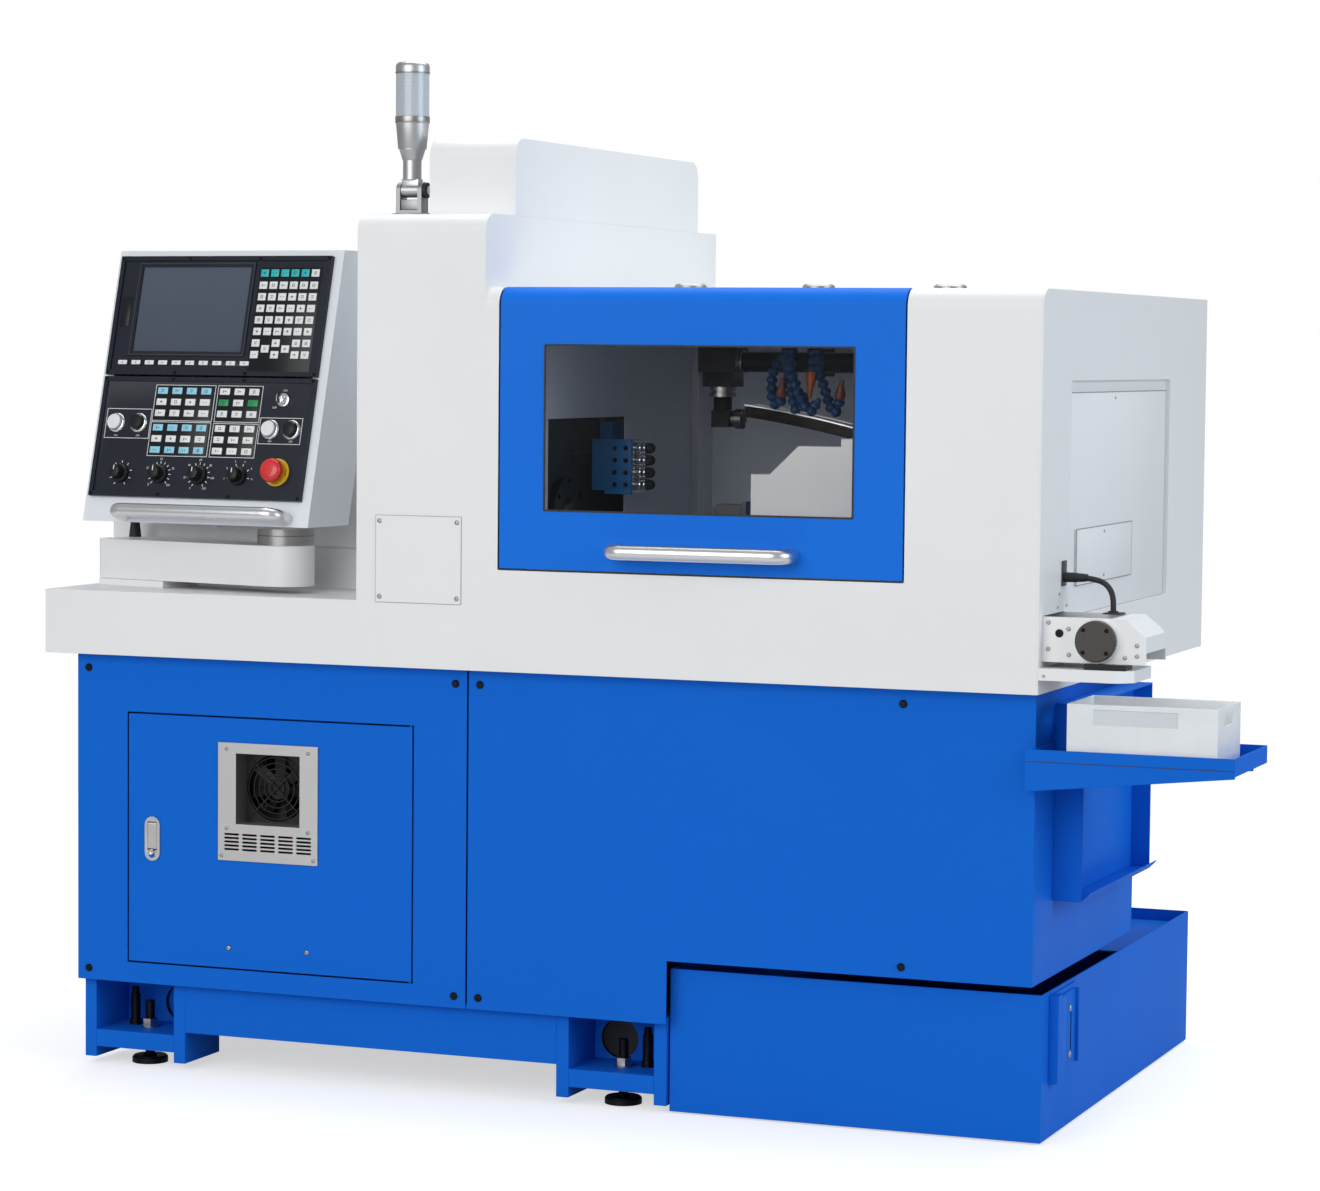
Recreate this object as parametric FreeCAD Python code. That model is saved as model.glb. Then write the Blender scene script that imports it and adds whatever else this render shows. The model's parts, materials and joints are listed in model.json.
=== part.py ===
import FreeCAD, Part
import math
import os

# Enclosed sliding-head turning lathe. All sizes are millimetres, +Z is up.
# While the pieces are made, x runs from the left end of the skirt along the machine, y from the
# front of the housing to the rear and z from the floor. Each piece is moved by ORIGIN when it is
# written, so that the finished part has its origin on the floor under the middle of its bounds.

V = FreeCAD.Vector

# ---- sheet metal and fits ----
SHEET = 2.5               # housing, cabinet and door sheet
BEND = 30.0               # outer radius of the long bends at the housing's top front edges
DOOR_GAP = 3.0            # shadow gap round the doors
RUN_GAP = 0.4             # gap between pieces that slide past each other
PANEL_FIT = 0.3           # gap between a sheet's edge and what it fits round
PIN_PLAY = 0.05           # radial play of a pin or shaft in its bore

# ---- heights, from the floor up ----
LEG_LIFT = 12.0           # underside of the legs above the floor
LEG_HEIGHT = 138.0
BASE_HEIGHT = 610.0
SKIRT_LAP = 45.0          # how far the skirt hangs over the base cabinet
SKIRT_HEIGHT = 109.0
HOUSING_RISE = 519.0      # ledge to the top of the working area
COLUMN_RISE = 119.0       # top of the working area to the top of the column
HUMP_RISE = 129.0
FRAME_TOP = LEG_LIFT + LEG_HEIGHT
BASE_TOP = FRAME_TOP + BASE_HEIGHT
SKIRT_BOTTOM = BASE_TOP - SKIRT_LAP
LEDGE = SKIRT_BOTTOM + SKIRT_HEIGHT
HOUSING_TOP = LEDGE + HOUSING_RISE
COLUMN_TOP = HOUSING_TOP + COLUMN_RISE

# ---- housing plan ----
HOUSING_LENGTH = 1760.0
COLUMN_LEFT = 591.0
COLUMN_WIDTH = 231.0
COLUMN_DEPTH = 1067.0
HOUSING_STEP = 33.0       # housing's rear behind the column's
HOUSING_DEPTH = COLUMN_DEPTH + HOUSING_STEP
COLUMN_RIGHT = COLUMN_LEFT + COLUMN_WIDTH

# ---- base cabinet ----
BASE_LEFT = 49.0
BASE_FRONT = 25.0
BASE_END_INSET = 9.0      # right end of the base inside the housing's end
BASE_REAR_INSET = 67.0    # rear of the left part, over the legs, inside the column's rear
OVERHANG_DEPTH = 630.0    # right part, over the coolant tank
PANEL_SEAM = 783.5        # joint of the two front sheets
SEAM_GAP = 3.0
BASE_PLATE = 8.0          # top and floor plates of the base
BASE_RIGHT = HOUSING_LENGTH - BASE_END_INSET
BASE_BACK = COLUMN_DEPTH - BASE_REAR_INSET
OVERHANG_BACK = BASE_FRONT + OVERHANG_DEPTH

# ---- welded frame and its feet ----
FRAME_LEFT = 52.0
FRAME_FRONT = 45.0
FRAME_LENGTH = 1081.0
FRAME_REAR_INSET = 20.0   # inside the base's rear
LEG_WIDTH = 195.0
LEG_DEPTH = 125.0
LEG_PLATE = 22.0
LEG_REAR_WALL = 10.0
FOOT_PLATE_LIFT = 18.0    # foot plate above the underside of the leg
FOOT_PLATE = 30.0
BEAM_HEIGHT = 84.0
BEAM_WEB = 10.0
BEAM_FLANGE = 60.0
LEG_WINDOW_RADIUS = 33.0
LEG_WINDOW_INSET = 128.0  # from the leg's outer side
FOOT_INSET = 97.0         # from the leg's outer side
FOOT_SETBACK = 55.0       # from the leg's front
PAD_RADIUS = 31.0
PAD_HEIGHT = 12.0
STUD_RADIUS = 8.0
STUD_HEIGHT = 107.0
STUD_PLAY = 1.0
NUT_WIDTH = 24.0
NUT_HEIGHT = 13.0
WASHER_RADIUS = 15.0
WASHER = 3.0
JACK_OFFSET = 37.0        # from the foot, outwards
JACK_SETBACK = 70.0
JACK_RADIUS = 8.5
JACK_HEIGHT = 66.0
FRAME_RIGHT = FRAME_LEFT + FRAME_LENGTH
FRAME_BACK = BASE_BACK - FRAME_REAR_INSET
FOOT_PLATE_TOP = LEG_LIFT + FOOT_PLATE_LIFT + FOOT_PLATE

# ---- coolant tank ----
TANK_LIFT = 3.0
TANK_HEIGHT = 235.0
TANK_WALL = 3.0
TANK_SIDE_GAP = 3.0       # from the frame
TANK_FRONT = 52.0
TANK_REAR_INSET = 65.0    # inside the housing's rear
TANK_PROUD = 1.0          # past the housing's end
TANK_DECK_DROP = 20.0     # rear deck below the rim
TANK_HEADROOM = 16.0      # rim to the base above it
TANK_LEFT = FRAME_RIGHT + TANK_SIDE_GAP
TANK_RIGHT = HOUSING_LENGTH + TANK_PROUD
TANK_TOP = TANK_LIFT + TANK_HEIGHT
TANK_BACK = HOUSING_DEPTH - TANK_REAR_INSET
OVERHANG_BOTTOM = TANK_TOP + TANK_HEADROOM

# ---- electric cabinet door ----
CABINET_DOOR_LEFT = 149.0
CABINET_DOOR_WIDTH = 534.0
CABINET_DOOR_SILL = 38.0  # above the frame
CABINET_DOOR_HEIGHT = 426.0
CABINET_DOOR_DEPTH = 20.0
CABINET_HINGE_PIN = 3.0
COOLER_LEFT = 173.0       # from the door's left edge
COOLER_WIDTH = 188.0
COOLER_SILL = 184.0       # from the door's lower edge
COOLER_HEIGHT = 201.0
COOLER_PLATE = 3.0
FAN_SIZE = 120.0
FAN_SILL = 63.0           # opening above the plate's lower edge
FAN_SETBACK = 34.0
FAN_DEPTH = 26.0
FAN_HUB = 19.0
FAN_TIP_GAP = 3.0
FAN_BLADES = 7
SLOT_COLUMNS = 5
SLOT_ROWS = 5
SLOT_LENGTH = 27.0
SLOT_HEIGHT = 3.2
SLOT_PITCH_X = 34.0
SLOT_PITCH_Z = 6.4
LATCH_LEFT = 32.0         # from the door's left edge
LATCH_WIDTH = 29.0
LATCH_SILL = 175.0        # from the door's lower edge
LATCH_HEIGHT = 76.0
LATCH_PLATE = 3.0
PADDLE_WIDTH = 17.0
PADDLE_HEIGHT = 46.0

# ---- front door of the working area ----
DOOR_INSET = 27.0         # from the column's right side
DOOR_END_GAP = 222.0      # from the housing's right end
DOOR_SILL = 61.0          # above the ledge
DOOR_RETURN = 20.0        # depth of the folded edges
DOOR_HOOD = 100.0         # how far the door reaches back over the top
KNUCKLE_RADIUS = 3.2
KNUCKLE_LENGTH = 26.0
HINGE_PIN = 1.5
HINGE_INSET = 90.0
WINDOW_LEFT = 79.0        # from the door's left edge
WINDOW_END_GAP = 83.0     # from the door's right edge
WINDOW_SILL = 96.0        # from the door's lower edge
WINDOW_HEIGHT = 268.0
WINDOW_LAP = 15.0
WINDOW_PANE = 5.0
HANDLE_LEFT = 195.0       # from the door's left edge
HANDLE_END_GAP = 170.0    # from the door's right edge
HANDLE_SILL = 28.0
HANDLE_REACH = 45.0
HANDLE_RADIUS = 12.5
HANDLE_BEND = 24.0
DOOR_LEFT = COLUMN_RIGHT + DOOR_INSET
DOOR_RIGHT = HOUSING_LENGTH - DOOR_END_GAP
WINDOW_WIDTH = DOOR_RIGHT - DOOR_LEFT - WINDOW_LEFT - WINDOW_END_GAP
HANDLE_LENGTH = DOOR_RIGHT - DOOR_LEFT - HANDLE_LEFT - HANDLE_END_GAP
DOOR_BOTTOM = LEDGE + DOOR_SILL
HINGE_Y = DOOR_HOOD + KNUCKLE_RADIUS + RUN_GAP
HINGE_Z = HOUSING_TOP - KNUCKLE_RADIUS

# ---- working area behind the door ----
LINER_INSET = 63.0        # left wall from the column's right side
LINER_END_GAP = 120.0     # right wall from the housing's end
LINER_SETBACK = 26.0
LINER_REAR_GAP = 250.0    # from the housing's rear
LINER_SILL = 14.0         # floor below the door's lower edge
LINER_HEADROOM = 27.0     # roof below the housing's top
POST_WIDTH = 75.0
POST_DEPTH = 14.0
LINER_LEFT = COLUMN_RIGHT + LINER_INSET
LINER_RIGHT = HOUSING_LENGTH - LINER_END_GAP
LINER_BACK = HOUSING_DEPTH - LINER_REAR_GAP
LINER_FLOOR = DOOR_BOTTOM - LINER_SILL
LINER_ROOF = HOUSING_TOP - LINER_HEADROOM

# ---- bed, spindles and tools ----
SPINDLE_Y = 330.0
SPINDLE_HEIGHT = 141.0    # above the ledge
SPINDLE_Z = LEDGE + SPINDLE_HEIGHT
SPINDLE_RADIUS = 32.0
SPINDLE_BORE = 8.0
SPINDLE_LEFT = 24.0
SPINDLE_LENGTH = 620.0
BED_LEFT = 60.0
BED_FRONT = 272.0
BED_DEPTH = 330.0
BED_HEIGHT = 74.0
RAIL = 18.0
HEADSTOCK_LEFT = 150.0
HEADSTOCK_LENGTH = 330.0
HEADSTOCK_HALF = 55.0
HEADSTOCK_TRAVEL = 100.0
BRIDGE_INSET = 74.0       # from the column's left side
BRIDGE_FRONT = 160.0
BRIDGE_REAR_INSET = 207.0 # from the column's rear
BRIDGE_SETBACK = 2.0      # right face inside the column's right side
BRIDGE_HEADROOM = 13.0    # below the housing's top
BUSH_SEAT = 45.0
BUSH_FLANGE = 62.0
BUSH_FLANGE_DEPTH = 14.0
BUSH_NOSE = 24.0
BUSH_NOSE_LENGTH = 8.0
BUSH_BORE = 6.5
BUSH_BODY = 60.0
BRIDGE_LEFT = COLUMN_LEFT + BRIDGE_INSET
BRIDGE_RIGHT = COLUMN_RIGHT - BRIDGE_SETBACK
BRIDGE_BACK = COLUMN_DEPTH - BRIDGE_REAR_INSET
SLIDE_PLATE = 14.0
SLIDE_GAP = 25.0          # plate behind the tool block
SLIDE_LENGTH = 235.0
SLIDE_SILL = 42.0         # plate above the block's lower face
SLIDE_RISE = 50.0         # plate above the block's top
SLIDE_RAIL = 10.0         # how far the rails stand off the bridge
RAIL_MARGIN = 8.0         # rail from the plate's edge
RAIL_LEAD = 95.0          # rails in front of the plate
TOOL_BLOCK_WIDTH = 43.0
TOOL_BLOCK_DEPTH = 40.0
TOOL_BLOCK_HEIGHT = 92.0
TOOL_BLOCK_LEFT = 60.0    # block from the bridge's right face
TOOL_BLOCK_FRONT = 400.0
TOOL_BLOCK_LIFT = 31.0    # lower face above the spindle line
TOOL_SLEEVES = 4
SLEEVE_RADIUS = 9.5
SLEEVE_BORE = 5.0
SLEEVE_LENGTH = 27.0
SLEEVE_PITCH = 21.0
DRIVEN_OFFSET = 291.0     # from the column's right side
DRIVEN_X = COLUMN_RIGHT + DRIVEN_OFFSET
DRIVEN_Y = 330.0
DRIVEN_WIDTH = 66.0
HEAD_PLATE = 18.0         # slide plate at the rear of the driven head's arm
HEAD_PLATE_LEFT = 30.0    # how far it stands out beyond the arm
HEAD_PLATE_RIGHT = 8.0
HEAD_TRAVEL = 60.0
DRIVEN_DROP = 110.0       # lower face of the head block below the roof
CUTTER_RADIUS = 17.0
MOTOR_LENGTH = 254.0
MOTOR_RADIUS = 17.0
REAR_COLUMN_OFFSET = 93.0 # its left side from the driven head's middle
REAR_COLUMN_WIDTH = 104.0
REAR_COLUMN_GAP = 50.0    # behind the liner
REAR_COLUMN_DEPTH = 90.0
REAR_COLUMN_LEFT = DRIVEN_X - REAR_COLUMN_OFFSET
REAR_COLUMN_FRONT = LINER_BACK + REAR_COLUMN_GAP
SUB_END_GAP = 80.0        # housing from the liner's right wall
SUB_LENGTH = 290.0
SUB_HALF = 60.0
CHUCK_RADIUS = 40.0
CHUCK_LENGTH = 45.0
SUB_BED_REACH = 120.0     # bed to the left of the housing
SUB_BED_END_GAP = 20.0    # from the liner's right wall
SUB_BED_HALF = 80.0
SUB_BED_RISE = 3.0        # above the liner's floor
SUB_LEFT = LINER_RIGHT - SUB_END_GAP - SUB_LENGTH
SUB_BED_LEFT = SUB_LEFT - SUB_BED_REACH
SUB_BED_RIGHT = LINER_RIGHT - SUB_BED_END_GAP
GUARD_REACH = 40.0        # to the left of the sub-spindle
GUARD_FRONT = 150.0
GUARD_DEPTH = 60.0
GUARD_LOW = 77.0          # heights above the spindle line
GUARD_MIDDLE = 124.0
GUARD_TOP = 137.0
GUARD_NOSE = 32.0         # lengths of the low step, the slope and the middle step
GUARD_SLOPE = 49.0
GUARD_SHOULDER = 73.0
HOSE_COUNT = 4
HOSE_RADIUS = 7.5
HOSE_Y = 230.0
HOSE_OFFSET = 75.0        # first hose from the driven head
HOSE_PITCH = 34.0
HOSE_DROP = 150.0
HOSE_STAGGER = 8.0        # every other hose hangs lower by this
HOSE_LEAN = 14.0
HOSE_CURL = 34.0          # how far a hose's end curls sideways
HOSE_RISE = 66.0          # how far it comes back up
HOSE_BEND = 15.0
MANIFOLD_HEIGHT = 26.0
MANIFOLD_HALF = 15.0
MANIFOLD_MARGIN = 20.0
CHUTE_FRONT = 480.0
CHUTE_WIDTH = 60.0
CHUTE_RISE = 184.0        # upper and lower ends above the spindle line
CHUTE_OUTLET = 30.0
CHIP_INSET = 44.0         # chip opening inside the tank's left side
CHIP_END_GAP = 40.0       # and inside the liner's right wall
CHIP_FRONT = 480.0
CHIP_DEPTH = 150.0

# ---- covers ----
HUMP_INSET = 74.0         # from the column's left side
HUMP_FRONT = 120.0
HUMP_REAR_INSET = 97.0    # from the column's rear
HEAD_COVER_OVERHANG = 16.0
HEAD_COVER_FRONT = 262.0
HEAD_COVER_REAR_INSET = 67.0
HEAD_COVER_HEIGHT = 296.0
HEAD_COVER_SEAM = 69.0
HEAD_COVER_CAP = 50.0
HEAD_COVER_LIP = 16.0     # inner lip that the hood and end cap sit over
HEAD_COVER_LAP = 20.0     # cover's top above the column's opening
BAR_RING_RADIUS = 45.0
BAR_RING_DEPTH = 10.0
BAR_RING_BORE = 20.0
RECESS_FRONT = 174.0
RECESS_LENGTH = 654.0
RECESS_SILL = 2.0         # above the ledge
RECESS_HEIGHT = 374.0
RECESS_DEPTH = 8.0
SMALL_COVER_FRONT = 206.0
SMALL_COVER_LENGTH = 384.0
SMALL_COVER_SILL = 41.0
SMALL_COVER_HEIGHT = 114.0
COLUMN_PLATE_LEFT = 36.0
COLUMN_PLATE_WIDTH = 154.0
COLUMN_PLATE_SILL = -1.0
COLUMN_PLATE_HEIGHT = 143.0
COVER_PLATE = 1.5
CAP_RADIUS = 26.5
CAP_HEIGHT = 8.0
CAP_Y = 170.0
CAP_INSET = 265.0         # first cap from the door's left edge
CAP_END_GAP = 202.0       # last cap from the housing's right end
CAP_COUNT = 3

# ---- signal lamp ----
LAMP_X = 619.0
LAMP_Y = 150.0
LAMP_RADIUS = 28.5
LAMP_POLE_RADIUS = 15.5
LAMP_FLANGE_RADIUS = 26.0
LAMP_PIVOT = 44.0         # above the column's top
LAMP_PIN = 4.0
LAMP_LUG_RADIUS = 12.0
LAMP_EAR = 8.0            # thickness of the bracket's ears
LAMP_KNOB = 5.0
LAMP_LUG = 20.0           # heights above the pivot
LAMP_STEM = 51.0
LAMP_CONE = 70.0
LAMP_SLEEVE = 100.0
LAMP_RING = 113.0
LENS_FOOT = 123.0
LENS_TOP = 195.0
LAMP_TOP = 214.0
LENS_INSET = 0.5

# ---- swing arm and pendant ----
ARM_PIVOT_X = 85.0
ARM_PIVOT_Y = 180.0
ARM_YAW = -12.0
ARM_REACH = 325.0
ARM_TAIL = 58.0
ARM_WIDTH = 98.0
ARM_HEIGHT = 69.0
ARM_BASE = 12.0
ARM_PIN = 25.0
RING_RADIUS = 48.0
RING_HEIGHT = 17.0
RING_SPIGOT = 20.0
CASE_WIDTH = 452.0
CASE_DEPTH = 133.0
CASE_SLANT = 481.0        # height measured up the sloping front
CASE_TILT = 14.2
CASE_YAW = -4.6
CASE_RING_X = 361.0       # swivel from the case's left side
CASE_RING_Y = 79.0        # swivel from the case's lower front edge
UNIT_LEFT = 9.5
UNIT_WIDTH = 425.0
UNIT_HEIGHT = 211.0
UNIT_DEPTH = 6.0
UNIT_RIM = 8.0
UNIT_RIM_RISE = 3.0
OPERATOR_SILL = 43.5
DISPLAY_SILL = 258.0
SCREEN_LEFT = 56.5
SCREEN_WIDTH = 220.5
SCREEN_SILL = 300.0
SCREEN_HEIGHT = 150.5
KNOB_SILL = 84.0
KNOB_FIRST = 68.5
KNOB_PITCH = 79.2
KNOB_RADIUS = 13.0
BUTTON_RADIUS = 10.7
BUTTON_PLAY = 0.3
BUTTON_TRAVEL = 4.0
BUTTON_PLACES = [(47.0, 172.5), (92.0, 173.0), (358.5, 165.5), (400.0, 165.5)]
STOP_X = 381.5
STOP_SILL = 92.0
STOP_RADIUS = 18.5
STOP_TRAVEL = 6.0
KEY_X = 376.5
KEY_SILL = 217.0
KEY_FILM = 0.5            # thickness of the membrane, and rise of a key above it
KEY_RISE = 1.5
DISPLAY_KEY = (15.5, 13.0)
DISPLAY_KEY_LEFT = 305.0  # middles of the first keys, then their pitch
DISPLAY_KEY_TOP = 439.0
DISPLAY_KEY_NEXT = 417.5
DISPLAY_PITCH = (20.1, 20.3)
SOFT_KEY = (18.0, 7.5)
SOFT_KEY_LEFT = 40.5
SOFT_KEY_SILL = 280.0
SOFT_PITCH = 27.5
OPERATOR_KEY = (20.0, 11.5)
OPERATOR_KEY_LEFT = (132.0, 257.5)
OPERATOR_KEY_TOP = (230.3, 165.6)
OPERATOR_PITCH = (29.3, 19.6)
BAR_LEFT = 75.0
BAR_LENGTH = 345.0
BAR_REACH = 42.0
BAR_SILL = 13.0
BAR_RADIUS = 11.5

# ---- right end: service frame, shelf, bin and part conveyor ----
SERVICE_FRONT = 138.0
SERVICE_LENGTH = 442.0
SERVICE_SILL = 122.0      # above the underside of the overhang
SERVICE_HEIGHT = 315.0
SERVICE_DEPTH = 48.0
SHELF_TAB = 20.0          # front tab on the base, inside the housing's end
SHELF_FRONT = 5.0
SHELF_LENGTH = 330.0
SHELF_DEPTH = 230.0
SHELF_DROP = 113.0        # floor below the skirt's lower edge
SHELF_LIP = 28.0
SHELF_GUSSET = 37.0
BIN_INSET = 64.0          # from the tab's edge
BIN_FRONT = 11.0
BIN_LENGTH = 237.0
BIN_DEPTH = 158.0
BIN_HEIGHT = 99.0
BIN_WALL = 3.0
CONVEYOR_FRONT = 20.0
CONVEYOR_WIDTH = 130.0
CONVEYOR_SILL = 51.0      # above the skirt's lower edge
CONVEYOR_HEIGHT = 70.0
CONVEYOR_REACH = 165.0    # past the housing's end
CONVEYOR_INSIDE = 110.0
CONVEYOR_PLATE = 4.0
ROLLER_RADIUS = 16.0
ROLLER_SHAFT = 5.0
BELT = 2.0
ROLLER_REACH = 88.0       # each roller from the housing's end
MOTOR_DISC_RADIUS = 32.0
MOTOR_DISC_DEPTH = 17.0
TRAY_LENGTH = 147.0
TRAY_DEPTH = 128.0
TRAY_HEIGHT = 19.0
LEAD_RADIUS = 4.5
LEAD_Y = 138.0
LEAD_DROP = 50.0
LEAD_SPAN = (75.0, -10.8, 0.0)
LEAD_BOSS = 5.0
GLAND_RADIUS = 8.0
GLAND_LENGTH = 10.0

SHELF_FLOOR = SKIRT_BOTTOM - SHELF_DROP
CONVEYOR_BOTTOM = SKIRT_BOTTOM + CONVEYOR_SILL
SHELF_LEFT = HOUSING_LENGTH - SHELF_TAB
SHELF_RIGHT = SHELF_LEFT + SHELF_LENGTH
DRIVE_X = HOUSING_LENGTH + ROLLER_REACH
IDLE_X = HOUSING_LENGTH - ROLLER_REACH
HEAD_COVER_LEFT = -HEAD_COVER_OVERHANG
ORIGIN = V((HEAD_COVER_LEFT - BAR_RING_DEPTH + SHELF_RIGHT) / 2,
           (HOUSING_DEPTH - HANDLE_REACH - HANDLE_RADIUS) / 2, 0)


# ---- shared shapes ----
def box(x0, x1, y0, y1, z0, z1):
    return Part.makeBox(x1 - x0, y1 - y0, z1 - z0, V(x0, y0, z0))


def rod(start, end, radius):
    """Round bar between two points."""
    line = V(*end) - V(*start)
    return Part.makeCylinder(radius, line.Length, V(*start), line)


def tube(start, end, radius, bore):
    return rod(start, end, radius).cut(rod(start, end, bore))


def prism(points, offset):
    """Straight-sided outline, extruded along offset."""
    corners = [V(*p) for p in points]
    face = Part.Face(Part.makePolygon(corners + corners[:1]))
    return face.extrude(V(*offset))


def slab_xz(points, y0, y1):
    return prism([(x, y0, z) for x, z in points], (0, y1 - y0, 0))


def slab_yz(points, x0, x1):
    return prism([(x0, y, z) for y, z in points], (x1 - x0, 0, 0))


def slab_xy(points, z0, z1):
    return prism([(x, y, z0) for x, y in points], (0, 0, z1 - z0))


def hollow(x0, x1, y0, y1, z0, z1, wall, opened):
    """Thin-walled box. opened names its missing sides, such as "+z"."""
    low = {"x": x0 + wall, "y": y0 + wall, "z": z0 + wall}
    high = {"x": x1 - wall, "y": y1 - wall, "z": z1 - wall}
    for side in opened.split():
        if side[0] == "-":
            low[side[1]] -= 2 * wall
        else:
            high[side[1]] += 2 * wall
    inner = box(low["x"], high["x"], low["y"], high["y"], low["z"], high["z"])
    return box(x0, x1, y0, y1, z0, z1).cut(inner)


def strips_round(x0, x1, y0, y1, z0, z1, hole):
    """Plate in the XY plane made of four strips round a rectangular hole."""
    hx0, hx1, hy0, hy1 = hole
    return [box(x0, x1, y0, hy0, z0, z1), box(x0, x1, hy1, y1, z0, z1),
            box(x0, hx0, hy0, hy1, z0, z1), box(hx1, x1, hy0, hy1, z0, z1)]


def round_edges(shape, radius, axis, **at):
    """Round the straight edges parallel to axis that lie at the given places."""
    direction = {"x": V(1, 0, 0), "y": V(0, 1, 0), "z": V(0, 0, 1)}[axis]
    chosen = []
    for edge in shape.Edges:
        if not isinstance(edge.Curve, Part.Line):
            continue
        if abs(abs(edge.Curve.Direction * direction) - 1) > 1e-6:
            continue
        middle = edge.CenterOfMass
        if all(abs(getattr(middle, key) - value) < 0.01 for key, value in at.items()):
            chosen.append(edge)
    return shape.makeFillet(radius, chosen)


def revolved(points, base, axis=(0, 0, 1)):
    """Turned piece: points are (radius, height) pairs, turned about axis through base."""
    corners = [V(r, 0, h) for r, h in points]
    face = Part.Face(Part.makePolygon(corners + corners[:1]))
    turned = face.revolve(V(0, 0, 0), V(0, 0, 1), 360)
    turned.Placement = FreeCAD.Placement(V(*base), FreeCAD.Rotation(V(0, 0, 1), V(*axis)))
    return turned


def bent_bar(corners, radius, bend):
    """Round bar along straight runs joined by tangent arcs of one bend radius."""
    points = [V(*c) for c in corners]
    edges = []
    last = points[0]
    for before, corner, after in zip(points, points[1:], points[2:]):
        inward = (corner - before).normalize()
        outward = (after - corner).normalize()
        turn = inward.getAngle(outward)
        trim = bend * math.tan(turn / 2)
        start = corner - inward * trim
        end = corner + outward * trim
        middle_direction = (outward - inward).normalize()
        centre = corner + middle_direction * (bend / math.cos(turn / 2))
        middle = centre - middle_direction * bend
        edges.append(Part.LineSegment(last, start).toShape())
        edges.append(Part.Arc(start, middle, end).toShape())
        last = end
    edges.append(Part.LineSegment(last, points[-1]).toShape())
    path = Part.Wire(edges)
    heading = (points[1] - points[0]).normalize()
    section = Part.Wire([Part.Circle(points[0], heading, radius).toShape()])
    return path.makePipeShell([section], True, False)


def bent_sheet(x0, x1, z0, top, back, wall=SHEET, bend=BEND):
    """Sheet that stands at y = 0 and folds back at its top over a long bend."""
    def corners(inset):
        radius = bend - inset
        side = radius * math.cos(math.pi / 4)
        return (V(x0, inset, z0), V(x0, inset, top - bend), V(x0, bend - side, top - bend + side),
                V(x0, bend, top - inset), V(x0, back, top - inset))
    foot, start, middle, end, edge = corners(0)
    inner_foot, inner_start, inner_middle, inner_end, inner_edge = corners(wall)
    edges = [Part.LineSegment(foot, start), Part.Arc(start, middle, end),
             Part.LineSegment(edge, inner_edge), Part.Arc(inner_end, inner_middle, inner_start),
             Part.LineSegment(inner_start, inner_foot), Part.LineSegment(inner_foot, foot)]
    if back > bend:
        edges.insert(2, Part.LineSegment(end, edge))
        edges.insert(4, Part.LineSegment(inner_edge, inner_end))
    return Part.Face(Part.Wire([edge.toShape() for edge in edges])).extrude(V(x1 - x0, 0, 0))


def end_sheet(x0, x1, y1, z0, top, bend=BEND):
    """Side sheet with the same rounded front corner as the bent sheets beside it."""
    corner = V(x0, bend * (1 - math.cos(math.pi / 4)), top - bend * (1 - math.sin(math.pi / 4)))
    edges = [Part.LineSegment(V(x0, 0, z0), V(x0, 0, top - bend)),
             Part.Arc(V(x0, 0, top - bend), corner, V(x0, bend, top)),
             Part.LineSegment(V(x0, bend, top), V(x0, y1, top)),
             Part.LineSegment(V(x0, y1, top), V(x0, y1, z0)),
             Part.LineSegment(V(x0, y1, z0), V(x0, 0, z0))]
    return Part.Face(Part.Wire([edge.toShape() for edge in edges])).extrude(V(x1 - x0, 0, 0))


# ---- welded frame and feet ----
def leg_places():
    """Outer x, direction to the leg's inner side, front y and direction to its rear, for four legs."""
    return [(FRAME_LEFT, 1, FRAME_FRONT, 1), (FRAME_RIGHT, -1, FRAME_FRONT, 1),
            (FRAME_LEFT, 1, FRAME_BACK, -1), (FRAME_RIGHT, -1, FRAME_BACK, -1)]


def foot_places():
    return [(x + dx * FOOT_INSET, y + dy * FOOT_SETBACK) for x, dx, y, dy in leg_places()]


def span(start, direction, a, b):
    """Low and high of two distances from start, counted along direction."""
    return tuple(sorted((start + direction * a, start + direction * b)))


def leg(x, dx, y, dy):
    wall = span(y, dy, LEG_DEPTH - LEG_REAR_WALL, LEG_DEPTH)
    inner = span(x, dx, LEG_PLATE, LEG_WIDTH - LEG_PLATE)
    deep = span(y, dy, 0, LEG_DEPTH)
    sides = [box(*span(x, dx, a, a + LEG_PLATE), *deep, LEG_LIFT, FRAME_TOP)
             for a in (0, LEG_WIDTH - LEG_PLATE)]
    foot_x, foot_y = x + dx * FOOT_INSET, y + dy * FOOT_SETBACK
    plate = box(*inner, *span(y, dy, 0, LEG_DEPTH - LEG_REAR_WALL), FOOT_PLATE_TOP - FOOT_PLATE,
                FOOT_PLATE_TOP)
    plate = plate.cut(rod((foot_x, foot_y, LEG_LIFT), (foot_x, foot_y, FRAME_TOP),
                          STUD_RADIUS + STUD_PLAY))
    window_x = x + dx * LEG_WINDOW_INSET
    window_z = FOOT_PLATE_TOP + LEG_WINDOW_RADIUS + 2
    window = rod((window_x, wall[0] - 1, window_z), (window_x, wall[1] + 1, window_z),
                 LEG_WINDOW_RADIUS)
    rear = box(*inner, *wall, FOOT_PLATE_TOP - FOOT_PLATE, FRAME_TOP).cut(window)
    return sides + [plate, rear]


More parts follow.
